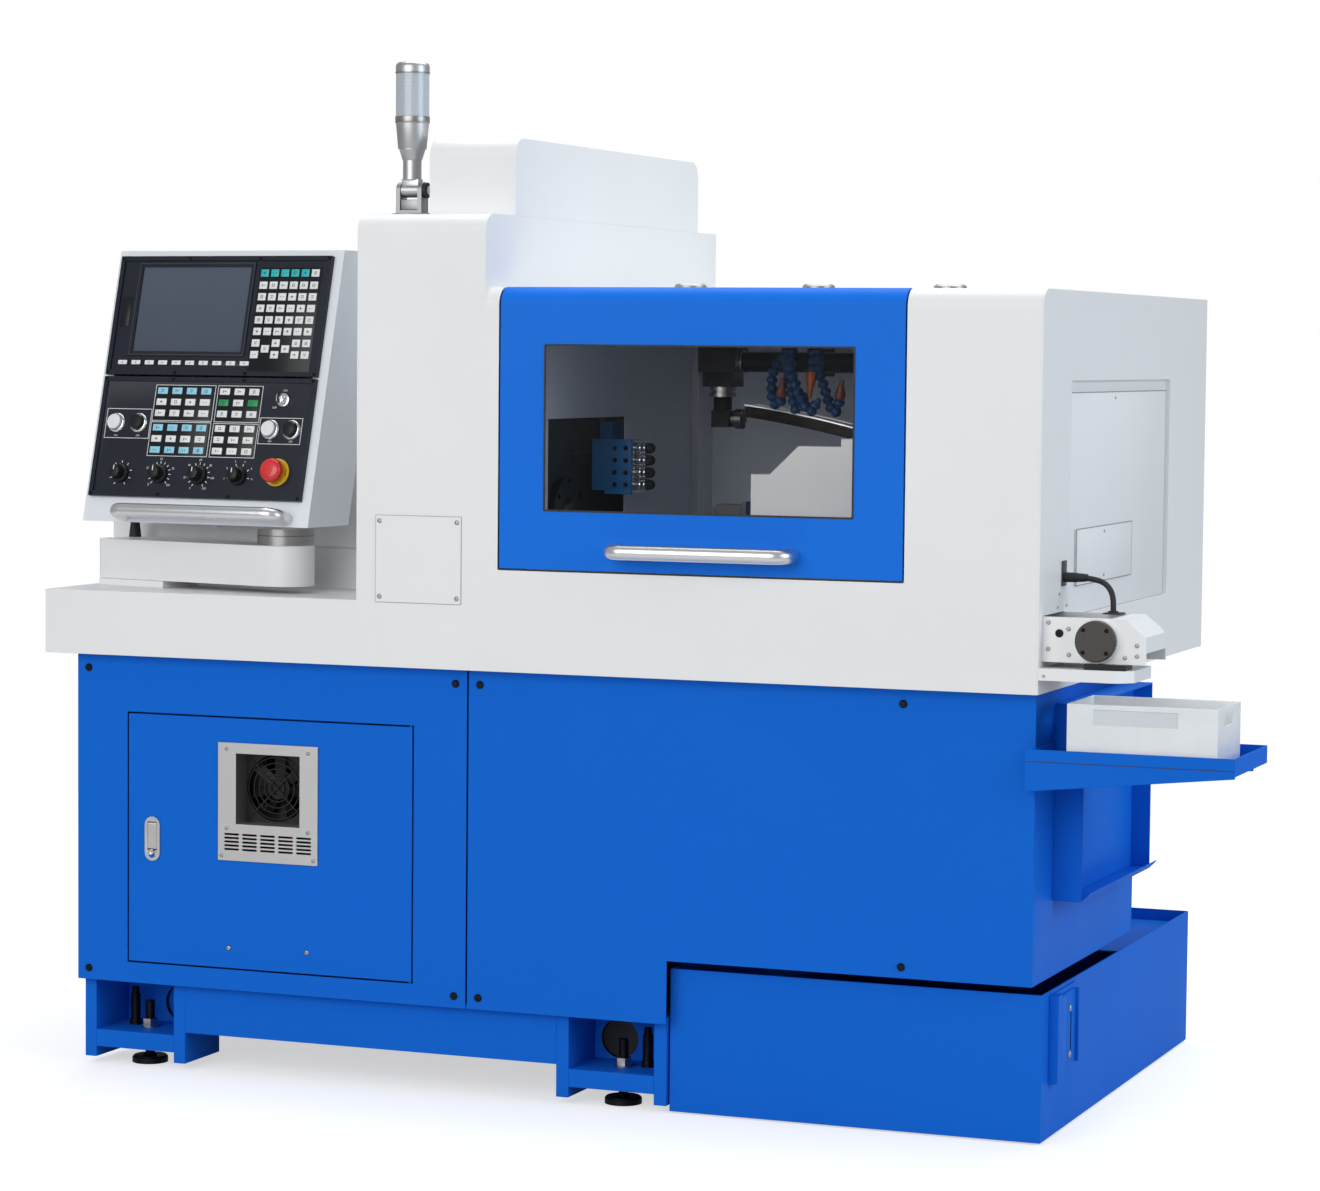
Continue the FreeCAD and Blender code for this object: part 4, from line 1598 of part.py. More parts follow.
def operator_key_centres(first_x, columns):
    pitch_x, pitch_y = OPERATOR_PITCH
    rows = [top - pitch_y * i for top in OPERATOR_KEY_TOP for i in range(3)]
    return [(first_x + c * pitch_x, y) for y in rows for c in range(columns)]


def control_keys():
    """Key films of both units."""
    soft = [(SOFT_KEY_LEFT + SOFT_PITCH * i, SOFT_KEY_SILL) for i in range(10)]
    left, right = OPERATOR_KEY_LEFT
    return panel_frame([key_film(display_key_centres(), DISPLAY_KEY, 4.0), key_film(soft, SOFT_KEY, 1.2),
                        key_film(operator_key_centres(left, 4), OPERATOR_KEY, 4.0),
                        key_film(operator_key_centres(right, 3), OPERATOR_KEY, 4.0)])


def knob_centres():
    return [KNOB_FIRST + KNOB_PITCH * i for i in range(4)]


def selector_knob(x):
    """Knob with a skirt, a narrower grip and a raised pointer."""
    seat = UNIT_DEPTH + RUN_GAP
    body = revolved([(0, seat), (KNOB_RADIUS, seat), (KNOB_RADIUS, seat + 5), (KNOB_RADIUS - 3.5, seat + 8),
                     (KNOB_RADIUS - 4.5, seat + 22), (0, seat + 22)], (x, KNOB_SILL, 0))
    stem = rod((x, KNOB_SILL, 0), (x, KNOB_SILL, seat), 3.0)
    pointer = box(x - 1.2, x + 1.2, KNOB_SILL, KNOB_SILL + KNOB_RADIUS - 3, seat + 21, seat + 23)
    return panel_frame([body.fuse([stem, pointer]).removeSplitter()])


def push_button(x, y):
    """Cap that slides in its bezel, with a short guide behind the unit."""
    top = UNIT_DEPTH + 11
    return panel_frame([revolved([(0, -8), (BUTTON_RADIUS, -8), (BUTTON_RADIUS, top - 1.5),
                                  (BUTTON_RADIUS - 1.5, top), (0, top)], (x, y, 0))])


def control_bezels():
    """Rings round the pushbuttons and the key switch, and the yellow ring under the stop button."""
    rings = []
    hole = BUTTON_RADIUS + BUTTON_PLAY
    for x, y in BUTTON_PLACES:
        rings.append(tube((x, y, UNIT_DEPTH), (x, y, UNIT_DEPTH + 6), hole + 2.8, hole))
    rings.append(tube((KEY_X, KEY_SILL, UNIT_DEPTH), (KEY_X, KEY_SILL, UNIT_DEPTH + 5), 9.5, 6 + PIN_PLAY))
    rings.append(tube((STOP_X, STOP_SILL, UNIT_DEPTH), (STOP_X, STOP_SILL, UNIT_DEPTH + 3), 21.5,
                      8 + BUTTON_PLAY))
    return panel_frame(rings)


def stop_button():
    """Mushroom button on its shaft."""
    cap = UNIT_DEPTH + 3 + STOP_TRAVEL + 2
    return panel_frame([revolved([(0, -10), (8, -10), (8, cap), (STOP_RADIUS - 3, cap),
                                  (STOP_RADIUS, cap + 4), (STOP_RADIUS, cap + 10),
                                  (STOP_RADIUS - 4, cap + 15), (STOP_RADIUS - 10, cap + 17),
                                  (0, cap + 17.5)], (STOP_X, STOP_SILL, 0))])


def key_switch():
    """Lock barrel with its key."""
    barrel = rod((KEY_X, KEY_SILL, -6), (KEY_X, KEY_SILL, UNIT_DEPTH + 6), 6.0)
    key = box(KEY_X - 1.2, KEY_X + 1.2, KEY_SILL - 7.5, KEY_SILL + 7.5, UNIT_DEPTH + 6, UNIT_DEPTH + 26)
    return panel_frame([barrel.fuse(key).removeSplitter()])


def pendant_handle():
    x0, x1 = BAR_LEFT + BAR_RADIUS, BAR_LEFT + BAR_LENGTH - BAR_RADIUS
    path = [(x0, BAR_SILL, 0), (x0, BAR_SILL, BAR_REACH), (x1, BAR_SILL, BAR_REACH), (x1, BAR_SILL, 0)]
    return panel_frame([bent_bar(path, BAR_RADIUS, 20.0)])


# ---- right end ----
def side_shelf():
    """Open tray with tapered gussets, bolted to the base's right side in front of its frame."""
    x0, x1 = BASE_RIGHT, SHELF_RIGHT
    y0, y1 = SHELF_FRONT, SHELF_FRONT + SHELF_DEPTH
    z0 = SHELF_FLOOR
    t = SHEET
    tray = hollow(x0, x1, y0, y1, z0, z0 + SHELF_LIP, t, "+z")
    tray = tray.fuse(box(SHELF_LEFT, x0, y0, y0 + t, z0 - SHELF_GUSSET, z0 + SHELF_LIP))
    rear = SERVICE_FRONT - RUN_GAP
    for y in (y0, rear - t):
        gusset = slab_xz([(x0, z0), (x0, z0 - SHELF_GUSSET), (x1, z0 - 3), (x1, z0)], y, y + t)
        tray = tray.fuse(gusset)
    notch = box(x0 - 1, x0 + SERVICE_DEPTH + RUN_GAP, rear, y1 + 1, z0 - 1, z0 + SHELF_LIP + 1)
    return [tray.cut(notch).removeSplitter()]


def parts_bin():
    """Plastic bin with hand holes in its ends and a shallow band on its front."""
    x0, x1 = SHELF_LEFT + BIN_INSET, SHELF_LEFT + BIN_INSET + BIN_LENGTH
    y0, y1 = BIN_FRONT, BIN_FRONT + BIN_DEPTH
    z0 = SHELF_FLOOR + SHEET
    z1 = z0 + BIN_HEIGHT
    bin_box = hollow(x0, x1, y0, y1, z0, z1, BIN_WALL, "+z")
    middle = (y0 + y1) / 2
    hand = box(x0 - 1, x1 + 1, middle - 32, middle + 32, z1 - 30, z1 - 10)
    band = box(x0 + 42, x1 - 62, y0 - 1, y0 + BIN_WALL / 2, z1 - 32, z1 - 8)
    return [bin_box.cut([hand, band])]


def conveyor_outline():
    x0, x1 = HOUSING_LENGTH - CONVEYOR_INSIDE, HOUSING_LENGTH + CONVEYOR_REACH
    _, _, z0, z1 = conveyor_corners()
    nose_x, nose_z = 33.0, 27.0
    return [(x0, z0), (x1, z0), (x1, z1 - nose_z), (x1 - nose_x, z1), (x0, z1)]


def roller_z():
    return CONVEYOR_BOTTOM + CONVEYOR_HEIGHT / 2


def conveyor_frame():
    """Two side plates, the sloping discharge hood, the foot block and the tray under them."""
    y0, y1, z0, z1 = conveyor_corners()
    plates = []
    for low in (y0, y1 - CONVEYOR_PLATE):
        plate = slab_xz(conveyor_outline(), low, low + CONVEYOR_PLATE)
        for x in (DRIVE_X, IDLE_X):
            plate = plate.cut(rod((x, low - 1, roller_z()), (x, low + CONVEYOR_PLATE + 1, roller_z()),
                                  ROLLER_SHAFT + PIN_PLAY))
        plates.append(plate)
    outline = conveyor_outline()
    t = 2.0
    end, nose, brow = outline[1], outline[2], outline[3]
    inner = [(end[0] - t, end[1] + 18), (end[0], end[1] + 18), nose, brow, (brow[0] - 24, brow[1]),
             (brow[0] - 24, brow[1] - t), (brow[0] - 1, brow[1] - t), (nose[0] - t, nose[1] - 1)]
    hood = slab_xz(inner, y0 + CONVEYOR_PLATE, y1 - CONVEYOR_PLATE)
    return plates + [hood] + conveyor_tray()


def conveyor_tray():
    x0, x1 = HOUSING_LENGTH, HOUSING_LENGTH + TRAY_LENGTH
    y0, y1 = 0.0, TRAY_DEPTH
    z1 = CONVEYOR_BOTTOM - 9
    z0 = z1 - TRAY_HEIGHT
    cut = 22.0
    t = SHEET
    outer = slab_xy([(x0, y0), (x1 - cut, y0), (x1, y0 + cut), (x1, y1), (x0, y1)], z0, z1)
    inner = slab_xy([(x0 + t, y0 + t), (x1 - cut - t / 2, y0 + t), (x1 - t, y0 + cut + t / 2),
                     (x1 - t, y1 - t), (x0 + t, y1 - t)], z0 - 1, z1 - t)
    foot = box(DRIVE_X - 18, DRIVE_X + 48, 8, 52, z1, CONVEYOR_BOTTOM)
    return [outer.cut(inner), foot]


def conveyor_belt():
    """Endless belt round both rollers."""
    y0, y1 = CONVEYOR_FRONT + 14, CONVEYOR_FRONT + CONVEYOR_WIDTH - 14
    z = roller_z()

    def loop(radius):
        body = box(IDLE_X, DRIVE_X, y0, y1, z - radius, z + radius)
        ends = [rod((x, y0, z), (x, y1, z), radius) for x in (IDLE_X, DRIVE_X)]
        return body.fuse(ends).removeSplitter()
    inner = ROLLER_RADIUS + 0.3
    return [loop(inner + BELT).cut(loop(inner)).removeSplitter()]


def belt_roller(x):
    y0, y1 = CONVEYOR_FRONT, CONVEYOR_FRONT + CONVEYOR_WIDTH
    z = roller_z()
    inset = CONVEYOR_PLATE + 4
    drum = rod((x, y0 + inset, z), (x, y1 - inset, z), ROLLER_RADIUS)
    return [drum.fuse(rod((x, y0 + 0.2, z), (x, y1 - 0.2, z), ROLLER_SHAFT)).removeSplitter()]


def conveyor_motor():
    """Flat motor with its round cover, on the front side plate."""
    y1 = CONVEYOR_FRONT
    return [revolved([(0, 0), (MOTOR_DISC_RADIUS + 3, 0), (MOTOR_DISC_RADIUS + 3, 5),
                      (MOTOR_DISC_RADIUS, 5), (MOTOR_DISC_RADIUS, MOTOR_DISC_DEPTH - 1.5),
                      (MOTOR_DISC_RADIUS - 1.5, MOTOR_DISC_DEPTH), (0, MOTOR_DISC_DEPTH)],
                     (DRIVE_X, y1, roller_z()), (0, -1, 0))]


def lead_ends():
    """Mouths of the gland on the housing's end and of the boss on top of the conveyor."""
    top = CONVEYOR_BOTTOM + CONVEYOR_HEIGHT + LEAD_BOSS
    end = V(HOUSING_LENGTH + GLAND_LENGTH, LEAD_Y, top) + V(*LEAD_SPAN)
    return V(HOUSING_LENGTH + GLAND_LENGTH, LEAD_Y, top + LEAD_DROP), end


def conveyor_glands():
    start, end = lead_ends()
    wall = rod(start - V(GLAND_LENGTH, 0, 0), start, GLAND_RADIUS)
    boss = rod(end - V(0, 0, LEAD_BOSS), end, GLAND_RADIUS)
    rear = CONVEYOR_FRONT + CONVEYOR_WIDTH
    low = end.z - LEAD_BOSS
    flange = box(end.x - 14, end.x + 14, end.y - 14, rear, low, low + 2)
    return [wall, boss.fuse(flange).removeSplitter()]


def conveyor_lead():
    """Short lead that bows over from the housing's end to the conveyor."""
    start, end = lead_ends()
    route = [start, start + V(26, 0, 0), start + V(51.6, -2.7, -3.6), start + V(65, -6.1, -11.6),
             start + V(72.9, -9.6, -23.9), end + V(0, 0, 12), end]
    return [lead_tube(route)]


def lead_tube(points):
    """Tube along the runs between points, each corner an arc as large as its two runs allow."""
    edges = []
    last = points[0]
    for before, corner, after in zip(points, points[1:], points[2:]):
        inward, outward = corner - before, after - corner
        shorter = min(inward.Length, outward.Length)
        inward.normalize()
        outward.normalize()
        turn = inward.getAngle(outward)
        trim = 0.45 * shorter
        radius = trim / math.tan(turn / 2)
        print("lead bend radius", round(radius, 1))
        start, end = corner - inward * trim, corner + outward * trim
        bisector = (outward - inward).normalize()
        middle = corner + bisector * (radius / math.cos(turn / 2) - radius)
        edges.append(Part.LineSegment(last, start).toShape())
        edges.append(Part.Arc(start, middle, end).toShape())
        last = end
    edges.append(Part.LineSegment(last, points[-1]).toShape())
    path = Part.Wire(edges)
    heading = (points[1] - points[0]).normalize()
    section = Part.Wire([Part.Circle(points[0], heading, LEAD_RADIUS).toShape()])
    lead = path.makePipeShell([section], True, False)
    print("lead volume over section times length",
          round(lead.Volume / (math.pi * LEAD_RADIUS ** 2 * path.Length), 4))
    return lead


# ---- coolant tank ----
def coolant_tank():
    """Open tank with its rear deck, glides and pull handle."""
    x0, x1, y0, y1 = TANK_LEFT, TANK_RIGHT, TANK_FRONT, TANK_BACK
    z0, z1 = TANK_LIFT, TANK_TOP
    t = TANK_WALL
    shell = hollow(x0, x1, y0, y1, z0, z1, t, "+z")
    deck_z = z1 - TANK_DECK_DROP
    deck = box(x0 + t, x1 - t, OVERHANG_BACK, y1 - t, deck_z - t, deck_z)
    glides = [rod((x, y, 0), (x, y, z0), 20) for x in (x0 + 60, x1 - 60) for y in (y0 + 60, y1 - 60)]
    hy0, hy1, hz0, hz1 = y0 + 40, y0 + 193, z0 + 88, z1 - 6
    plate = box(x1, x1 + t, hy0, hy1, hz0, hz1)
    plate = plate.fuse(box(x1 + t, x1 + 16, hy0, hy0 + 26, hz0, hz1)).removeSplitter()
    rod_y = hy1 - 45
    reach = 30.0
    grip = bent_bar([(x1 + t, rod_y, hz0 + 22), (x1 + reach, rod_y, hz0 + 22),
                     (x1 + reach, rod_y, hz1 - 22), (x1 + t, rod_y, hz1 - 22)], 5.0, 10.0)
    return [shell, deck] + glides + [plate, grip]


def write(node, solids):
    """Move the solids to the part's own origin and write them as one file."""
    moved = []
    for solid in solids:
        copy = solid.copy()
        copy.translate(V(0, 0, 0) - ORIGIN)
        moved.append(copy)
    shape = moved[0] if len(moved) == 1 else Part.makeCompound(moved)
    shape.exportStep("parts/" + node + ".step")


os.makedirs("parts", exist_ok=True)
nodes = {
    "base_frame": base_frame(),
    "levelling_feet": levelling_feet() + foot_nuts(),
    "cabinet_panels": cabinet_panels(),
    "cabinet_walls": cabinet_walls() + service_frame(),
    "panel_bolts": panel_bolts(),
    "cabinet_door": cabinet_door() + latch_case(),
    "latch_paddle": latch_paddle(),
    "cooler_plate": cooler_plate(),
    "fan_guard": fan_guard(),
    "fan_rotor": fan_rotor(),
    "coolant_tank": coolant_tank(),
    "housing_front": housing_front(),
    "housing_shell": housing_top() + housing_shell(),
    "housing_end": housing_end(),
    "cover_plates": cover_plates() + top_caps(),
    "hump_cover": hump_cover(),
    "headstock_cover": headstock_cover(),
    "front_door": front_door(),
    "door_window": door_window(),
    "door_handle": door_handle(),
    "chamber_liner": chamber_liner(),
    "machine_bed": machine_bed() + guide_bush() + slide_rails(),
    "headstock": headstock(),
    "main_spindle": main_spindle(),
    "cross_slide": cross_slide(),
    "tool_block": tool_block(),
    "driven_head": driven_head(),
    "driven_cutter": driven_cutter(),
    "sub_spindle": sub_spindle(),
    "sub_chuck": sub_chuck(),
    "spindle_guard": spindle_guard(),
    "coolant_hoses": coolant_hoses(),
    "lamp_bracket": lamp_bracket(),
    "lamp_pole": lamp_pole(),
    "lamp_lens": lamp_lens(),
    "arm_base": arm_base(),
    "swing_arm": swing_arm(),
    "pendant_case": pendant_case(),
    "control_units": control_units(),
    "display_screen": display_screen(),
    "control_keys": control_keys(),
    "control_bezels": control_bezels(),
    "stop_button": stop_button(),
    "key_switch": key_switch(),
    "pendant_handle": pendant_handle(),
    "side_shelf": side_shelf(),
    "parts_bin": parts_bin(),
    "conveyor_frame": conveyor_frame() + conveyor_motor() + conveyor_glands(),
    "conveyor_belt": conveyor_belt(),
    "drive_roller": belt_roller(DRIVE_X),
    "idle_roller": belt_roller(IDLE_X),
    "conveyor_lead": conveyor_lead(),
}
for number, place in enumerate(knob_centres(), 1):
    nodes["knob_%d" % number] = selector_knob(place)
for number, place in enumerate(BUTTON_PLACES, 1):
    nodes["button_%d" % number] = push_button(*place)
for node, solids in nodes.items():
    write(node, solids)
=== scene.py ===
import json
import math
import random

import bmesh
import bpy
from mathutils import Matrix, Vector

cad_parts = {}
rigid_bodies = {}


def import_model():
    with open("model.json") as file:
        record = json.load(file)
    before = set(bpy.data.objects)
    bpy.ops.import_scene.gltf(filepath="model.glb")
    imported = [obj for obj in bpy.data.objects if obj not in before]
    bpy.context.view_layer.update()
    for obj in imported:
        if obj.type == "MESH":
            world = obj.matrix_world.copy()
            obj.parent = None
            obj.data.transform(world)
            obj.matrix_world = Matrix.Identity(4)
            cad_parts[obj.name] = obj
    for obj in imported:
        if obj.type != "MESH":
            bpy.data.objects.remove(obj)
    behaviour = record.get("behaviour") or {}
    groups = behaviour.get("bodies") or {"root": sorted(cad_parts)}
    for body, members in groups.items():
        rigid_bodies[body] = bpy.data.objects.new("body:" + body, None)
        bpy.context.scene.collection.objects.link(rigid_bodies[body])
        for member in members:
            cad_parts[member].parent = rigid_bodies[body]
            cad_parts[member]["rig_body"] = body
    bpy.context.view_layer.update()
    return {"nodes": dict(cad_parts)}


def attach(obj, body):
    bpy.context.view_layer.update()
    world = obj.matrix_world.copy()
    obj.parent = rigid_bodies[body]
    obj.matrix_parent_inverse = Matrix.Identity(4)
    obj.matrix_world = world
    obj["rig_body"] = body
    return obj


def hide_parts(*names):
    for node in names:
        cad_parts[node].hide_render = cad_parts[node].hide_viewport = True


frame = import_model()
NODES = frame["nodes"]

# Machine coordinates: millimetres from the left end of the skirt, the front of the housing and the
# floor. M() gives the same point in metres in the part's own frame.
MACHINE_ORIGIN = Vector((1022.0, 521.25, 0.0))
MM = 0.001
RIGHT, FRONT, UP = (1, 0, 0), (0, -1, 0), (0, 0, 1)


def M(x, y, z):
    return (Vector((x, y, z)) - MACHINE_ORIGIN) * MM


# The pendant's sloping front: millimetres to the right, up the slope and outwards from its lower
# left corner. P() gives the same point in metres in the part's own frame.
PANEL_PLACE = Vector((-985.275, -458.615, 939.8)) * MM
PANEL_YAW = math.radians(-4.6)
PANEL_SLOPE = math.radians(75.8)
PANEL_RIGHT = Vector((math.cos(PANEL_YAW), math.sin(PANEL_YAW), 0))
PANEL_UP = Vector((-math.sin(PANEL_YAW) * math.cos(PANEL_SLOPE),
                   math.cos(PANEL_YAW) * math.cos(PANEL_SLOPE), math.sin(PANEL_SLOPE)))
PANEL_OUT = PANEL_RIGHT.cross(PANEL_UP)
PANEL_TURN = Matrix((PANEL_RIGHT, PANEL_UP, PANEL_OUT)).transposed()


def P(x, y, z):
    return PANEL_PLACE + PANEL_TURN @ (Vector((x, y, z)) * MM)


# ---- Camera ----
CAMERA_PLACE = M(3309.3, -5580.7, 1239.4)
CAMERA_YAW = math.radians(21.317)
CAMERA_PITCH = math.radians(3.726)
CAMERA_ROLL = math.radians(0.548)
CAMERA_SENSOR = 36.0
CAMERA_LENS = 3740.5 / 1320 * CAMERA_SENSOR   # focal length in pixels over the picture's width


def make_camera():
    ahead = Vector((-math.sin(CAMERA_YAW) * math.cos(CAMERA_PITCH),
                    math.cos(CAMERA_YAW) * math.cos(CAMERA_PITCH), -math.sin(CAMERA_PITCH)))
    side = Vector((math.cos(CAMERA_YAW), math.sin(CAMERA_YAW), 0))
    over = side.cross(ahead)
    right = side * math.cos(CAMERA_ROLL) + over * math.sin(CAMERA_ROLL)
    up = over * math.cos(CAMERA_ROLL) - side * math.sin(CAMERA_ROLL)
    data = bpy.data.cameras.new("camera")
    data.sensor_width = CAMERA_SENSOR
    data.lens = CAMERA_LENS
    data.clip_end = 100
    camera = linked("camera", data)
    turn = Matrix((right, up, -ahead)).transposed().to_4x4()
    camera.matrix_world = Matrix.Translation(CAMERA_PLACE) @ turn
    bpy.context.scene.camera = camera


def linked(name, data):
    """A new object in the scene."""
    made = bpy.data.objects.new(name, data)
    bpy.context.scene.collection.objects.link(made)
    return made


make_camera()

# ---- Shader trees ----


def maths(operation, reflected=False):
    """A method of a wire that adds one Math node."""
    def method(*values):
        values = values[::-1] if reflected else values
        wire = values[-1] if reflected else values[0]
        return wire.graph.node("Math", values, operation=operation)
    return method


class Wire:
    """One output socket in a node tree. Arithmetic on it adds the Math nodes."""

    def __init__(self, graph, socket):
        self.graph = graph
        self.socket = socket

    __add__ = __radd__ = maths("ADD")
    __sub__, __rsub__ = maths("SUBTRACT"), maths("SUBTRACT", True)
    __mul__ = __rmul__ = maths("MULTIPLY")
    __truediv__, __rtruediv__ = maths("DIVIDE"), maths("DIVIDE", True)
    sine, most = maths("SINE"), maths("MAXIMUM")


class Graph:
    """The node tree of a material or of the world."""

    def __init__(self, tree):
        self.tree = tree

    def node(self, kind, values=(), output=0, **settings):
        """Adds a node: its settings first, then the value or link of each input."""
        made = self.tree.nodes.new("ShaderNode" + kind)
        for name, value in settings.items():
            setattr(made, name, value)
        pairs = values.items() if isinstance(values, dict) else enumerate(values)
        for key, value in pairs:
            self.set_input(made.inputs[key], value)
        return Wire(self, made.outputs[output])

    def set_input(self, socket, value):
        if isinstance(value, Wire):
            self.tree.links.new(value.socket, socket)
        else:
            socket.default_value = value


class Finish(Graph):
    """A procedural material. Patterns read the piece's Object coordinates, in metres."""

    def __init__(self, name, colour, roughness=0.5, metallic=0.0, coat=0.0, **fixed):
        self.material = bpy.data.materials.new(name)
        self.material.use_nodes = True
        self.material.diffuse_color = (*colour, 1.0)
        super().__init__(self.material.node_tree)
        self.shader = self.tree.nodes["Principled BSDF"]
        self.feed("Base Color", (*colour, 1.0))
        self.feed("Roughness", roughness)
        self.feed("Metallic", metallic)
        self.feed("Coat Weight", coat)
        for key, value in fixed.items():
            self.feed(key.replace("_", " ").title().replace("Ior", "IOR"), value)

    def feed(self, name, value):
        self.set_input(self.shader.inputs[name], value)

    def place(self, scale=(1, 1, 1)):
        """Object coordinates, stretched by scale."""
        point = self.node("TexCoord", output="Object")
        if scale == (1, 1, 1):
            return point
        return self.node("Mapping", {"Vector": point, "Scale": scale})

    def axes(self):
        """The x, y and z of the Object coordinates, in metres."""
        split = self.node("SeparateXYZ", [self.place()])
        return [Wire(self, socket) for socket in split.socket.node.outputs]

    def rings(self, pitch):
        """A wave from -1 to 1 along z, one every pitch."""
        return (self.axes()[2] * (math.tau / pitch)).sine()

    def noise(self, scale, detail=2.0, stretch=(1, 1, 1)):
        return self.node("TexNoise", {"Vector": self.place(stretch), "Scale": scale,
                                      "Detail": detail})

    def mix(self, factor, first, second):
        """Colour from first to second as factor goes from 0 to 1."""
        made = self.tree.nodes.new("ShaderNodeMix")
        made.data_type = "RGBA"
        for socket, value in ((made.inputs["Factor"], factor), (made.inputs[6], first),
                              (made.inputs[7], second)):
            if isinstance(value, tuple) and len(value) == 3:
                value = (*value, 1.0)
            self.set_input(socket, value)
        return Wire(self, made.outputs[2])

    def bump(self, height, distance, strength=1.0):
        self.feed("Normal", self.node("Bump", {"Height": height, "Distance": distance,
                                               "Strength": strength}))

    def clouded(self, factor, colour, dark, light=1.0):
        """Base colour between a darker and a lighter shade of one colour."""
        shades = [tuple(min(1.0, c * share) for c in colour) for share in (dark, light)]
        self.feed("Base Color", self.mix(factor, *shades))


def enamel(name, colour, roughness=0.38, coat=0.25, peel=0.00005, gloss=0.5):
    """Sprayed enamel on sheet metal: slight shade changes and a fine orange peel."""
    finish = Finish(name, colour, coat=coat, coat_roughness=0.18, specular_ior_level=gloss)
    shade = finish.noise(2.2, 3.0)
    fine = finish.noise(14.0, 4.0)
    finish.clouded(shade * 0.7 + fine * 0.3, colour, 0.95, 1.04)
    smear = finish.noise(5.0, 5.0, (1, 1, 0.35))
    finish.feed("Roughness", smear * 0.16 + (roughness - 0.08))
    finish.bump(finish.noise(420.0, 2.0), peel)
    return finish


def metal(name, colour, roughness=0.3, grain=(1, 1, 40), lines=90.0, depth=0.00003):
    """Bare metal with a drawn or turned grain along one axis."""
    finish = Finish(name, colour, metallic=1.0)
    streak = finish.noise(lines, 3.0, grain)
    cloud = finish.noise(9.0, 3.0)
    finish.clouded(streak, colour, 0.86)
    finish.feed("Roughness", streak * 0.12 + cloud * 0.1 + (roughness - 0.1))
    finish.bump(streak, depth, 0.6)
    return finish


def plastic(name, colour, roughness=0.45, grain=900.0, depth=0.00004, **fixed):
    """Moulded plastic with a fine spark texture."""
    finish = Finish(name, colour, **fixed)
    fine = finish.noise(grain, 2.0)
    cloud = finish.noise(20.0, 3.0)
    finish.clouded(cloud, colour, 0.85)
    finish.feed("Roughness", cloud * 0.14 + (roughness - 0.07))
    finish.bump(fine, depth)
    return finish


def casting(name, colour):
    """Painted rough casting."""
    finish = Finish(name, colour, coat=0.1)
    rough = finish.noise(160.0, 5.0)
    cloud = finish.noise(11.0, 4.0)
    finish.clouded(cloud, colour, 0.78)
    finish.feed("Roughness", rough * 0.2 + 0.4)
    finish.bump(rough, 0.0004)
    return finish


def glass(name, tint, alpha, roughness=0.05):
    finish = Finish(name, tint, roughness=roughness, specular_ior_level=0.1)
    smear = finish.noise(7.0, 4.0)
    finish.feed("Alpha", smear * 0.06 + alpha)
    finish.feed("Roughness", smear * 0.08 + roughness)
    finish.material.surface_render_method = "BLENDED"
    return finish


def threaded(name, colour, pitch):
    """Threaded bar along z: one ridge every pitch."""
    finish = Finish(name, colour, 0.42, metallic=1.0)
    ridge = finish.rings(pitch)
    finish.feed("Roughness", ridge * 0.1 + 0.45)
    finish.bump(ridge * 0.5 + 0.5, 0.0005)
    return finish


def display(name, low, high, bottom, top):
    """Dark glass, its base colour lighter towards the top in one even gradient: painted light."""
    finish = Finish(name, low, 0.16, coat=0.6, coat_roughness=0.04)
    height = (finish.axes()[2] - bottom) / (top - bottom)
    smear = finish.noise(16.0, 4.0)
    finish.feed("Base Color", finish.mix(height * 0.9 + smear * 0.1, low, high))
    finish.feed("Roughness", smear * 0.1 + 0.14)
    return finish


def ribbed_lens(name, colour, pitch):
    """Milky moulded lens with fine rings inside."""
    finish = Finish(name, colour, coat=0.5, coat_roughness=0.08)
    ring = finish.rings(pitch)
    finish.clouded(ring * 0.5 + 0.5, colour, 0.96)
    finish.feed("Roughness", finish.noise(30.0, 3.0) * 0.1 + 0.24)
    finish.bump(ring, 0.00003)
    return finish


WHITE = (0.828, 0.828, 0.832)
BLUE = (0.0068, 0.137, 0.640)
DOOR_BLUE = (0.0098, 0.167, 0.740)

white_enamel = enamel("white_enamel", WHITE, 0.42, 0.12)
pendant_enamel = enamel("pendant_enamel", (0.78, 0.815, 0.87), 0.4, 0.2)
guard_enamel = enamel("guard_enamel", (0.93, 0.93, 0.92), 0.45, 0.1)
blue_enamel = enamel("blue_enamel", BLUE, 0.52, 0.0, 0.00008, 0.04)
door_enamel = enamel("door_enamel", DOOR_BLUE, 0.42, 0.0, 0.00005, 0.06)
block_enamel = enamel("block_enamel", (0.026, 0.25, 0.62), 0.4, 0.1, 0.00005, 0.35)
liner_grey = enamel("liner_grey", (0.80, 0.85, 0.93), 0.5, 0.0, 0.00006, 0.2)
ground_steel = metal("ground_steel", (0.50, 0.50, 0.51), 0.32, (1, 30, 30))
dark_steel = metal("dark_steel", (0.11, 0.11, 0.115), 0.36, (1, 30, 30))
bracket_steel = metal("bracket_steel", (0.36, 0.37, 0.385), 0.46, (4, 4, 60), 60.0, 0.00001)
turned_steel = metal("turned_steel", (0.62, 0.62, 0.63), 0.2, (60, 1, 1), 60.0)
bright_chrome = metal("bright_chrome", (0.78, 0.78, 0.79), 0.12, (1, 1, 4), 30.0, 0.00001)
lamp_steel = metal("lamp_steel", (0.54, 0.545, 0.555), 0.40, (4, 4, 60), 60.0, 0.00001)
satin_aluminium = metal("satin_aluminium", (0.76, 0.76, 0.77), 0.3, (60, 1, 1), 50.0)
ring_aluminium = metal("ring_aluminium", (0.36, 0.355, 0.35), 0.34, (2, 2, 60), 60.0, 0.00002)
plate_aluminium = metal("plate_aluminium", (0.56, 0.55, 0.545), 0.42, (1, 1, 60), 60.0)
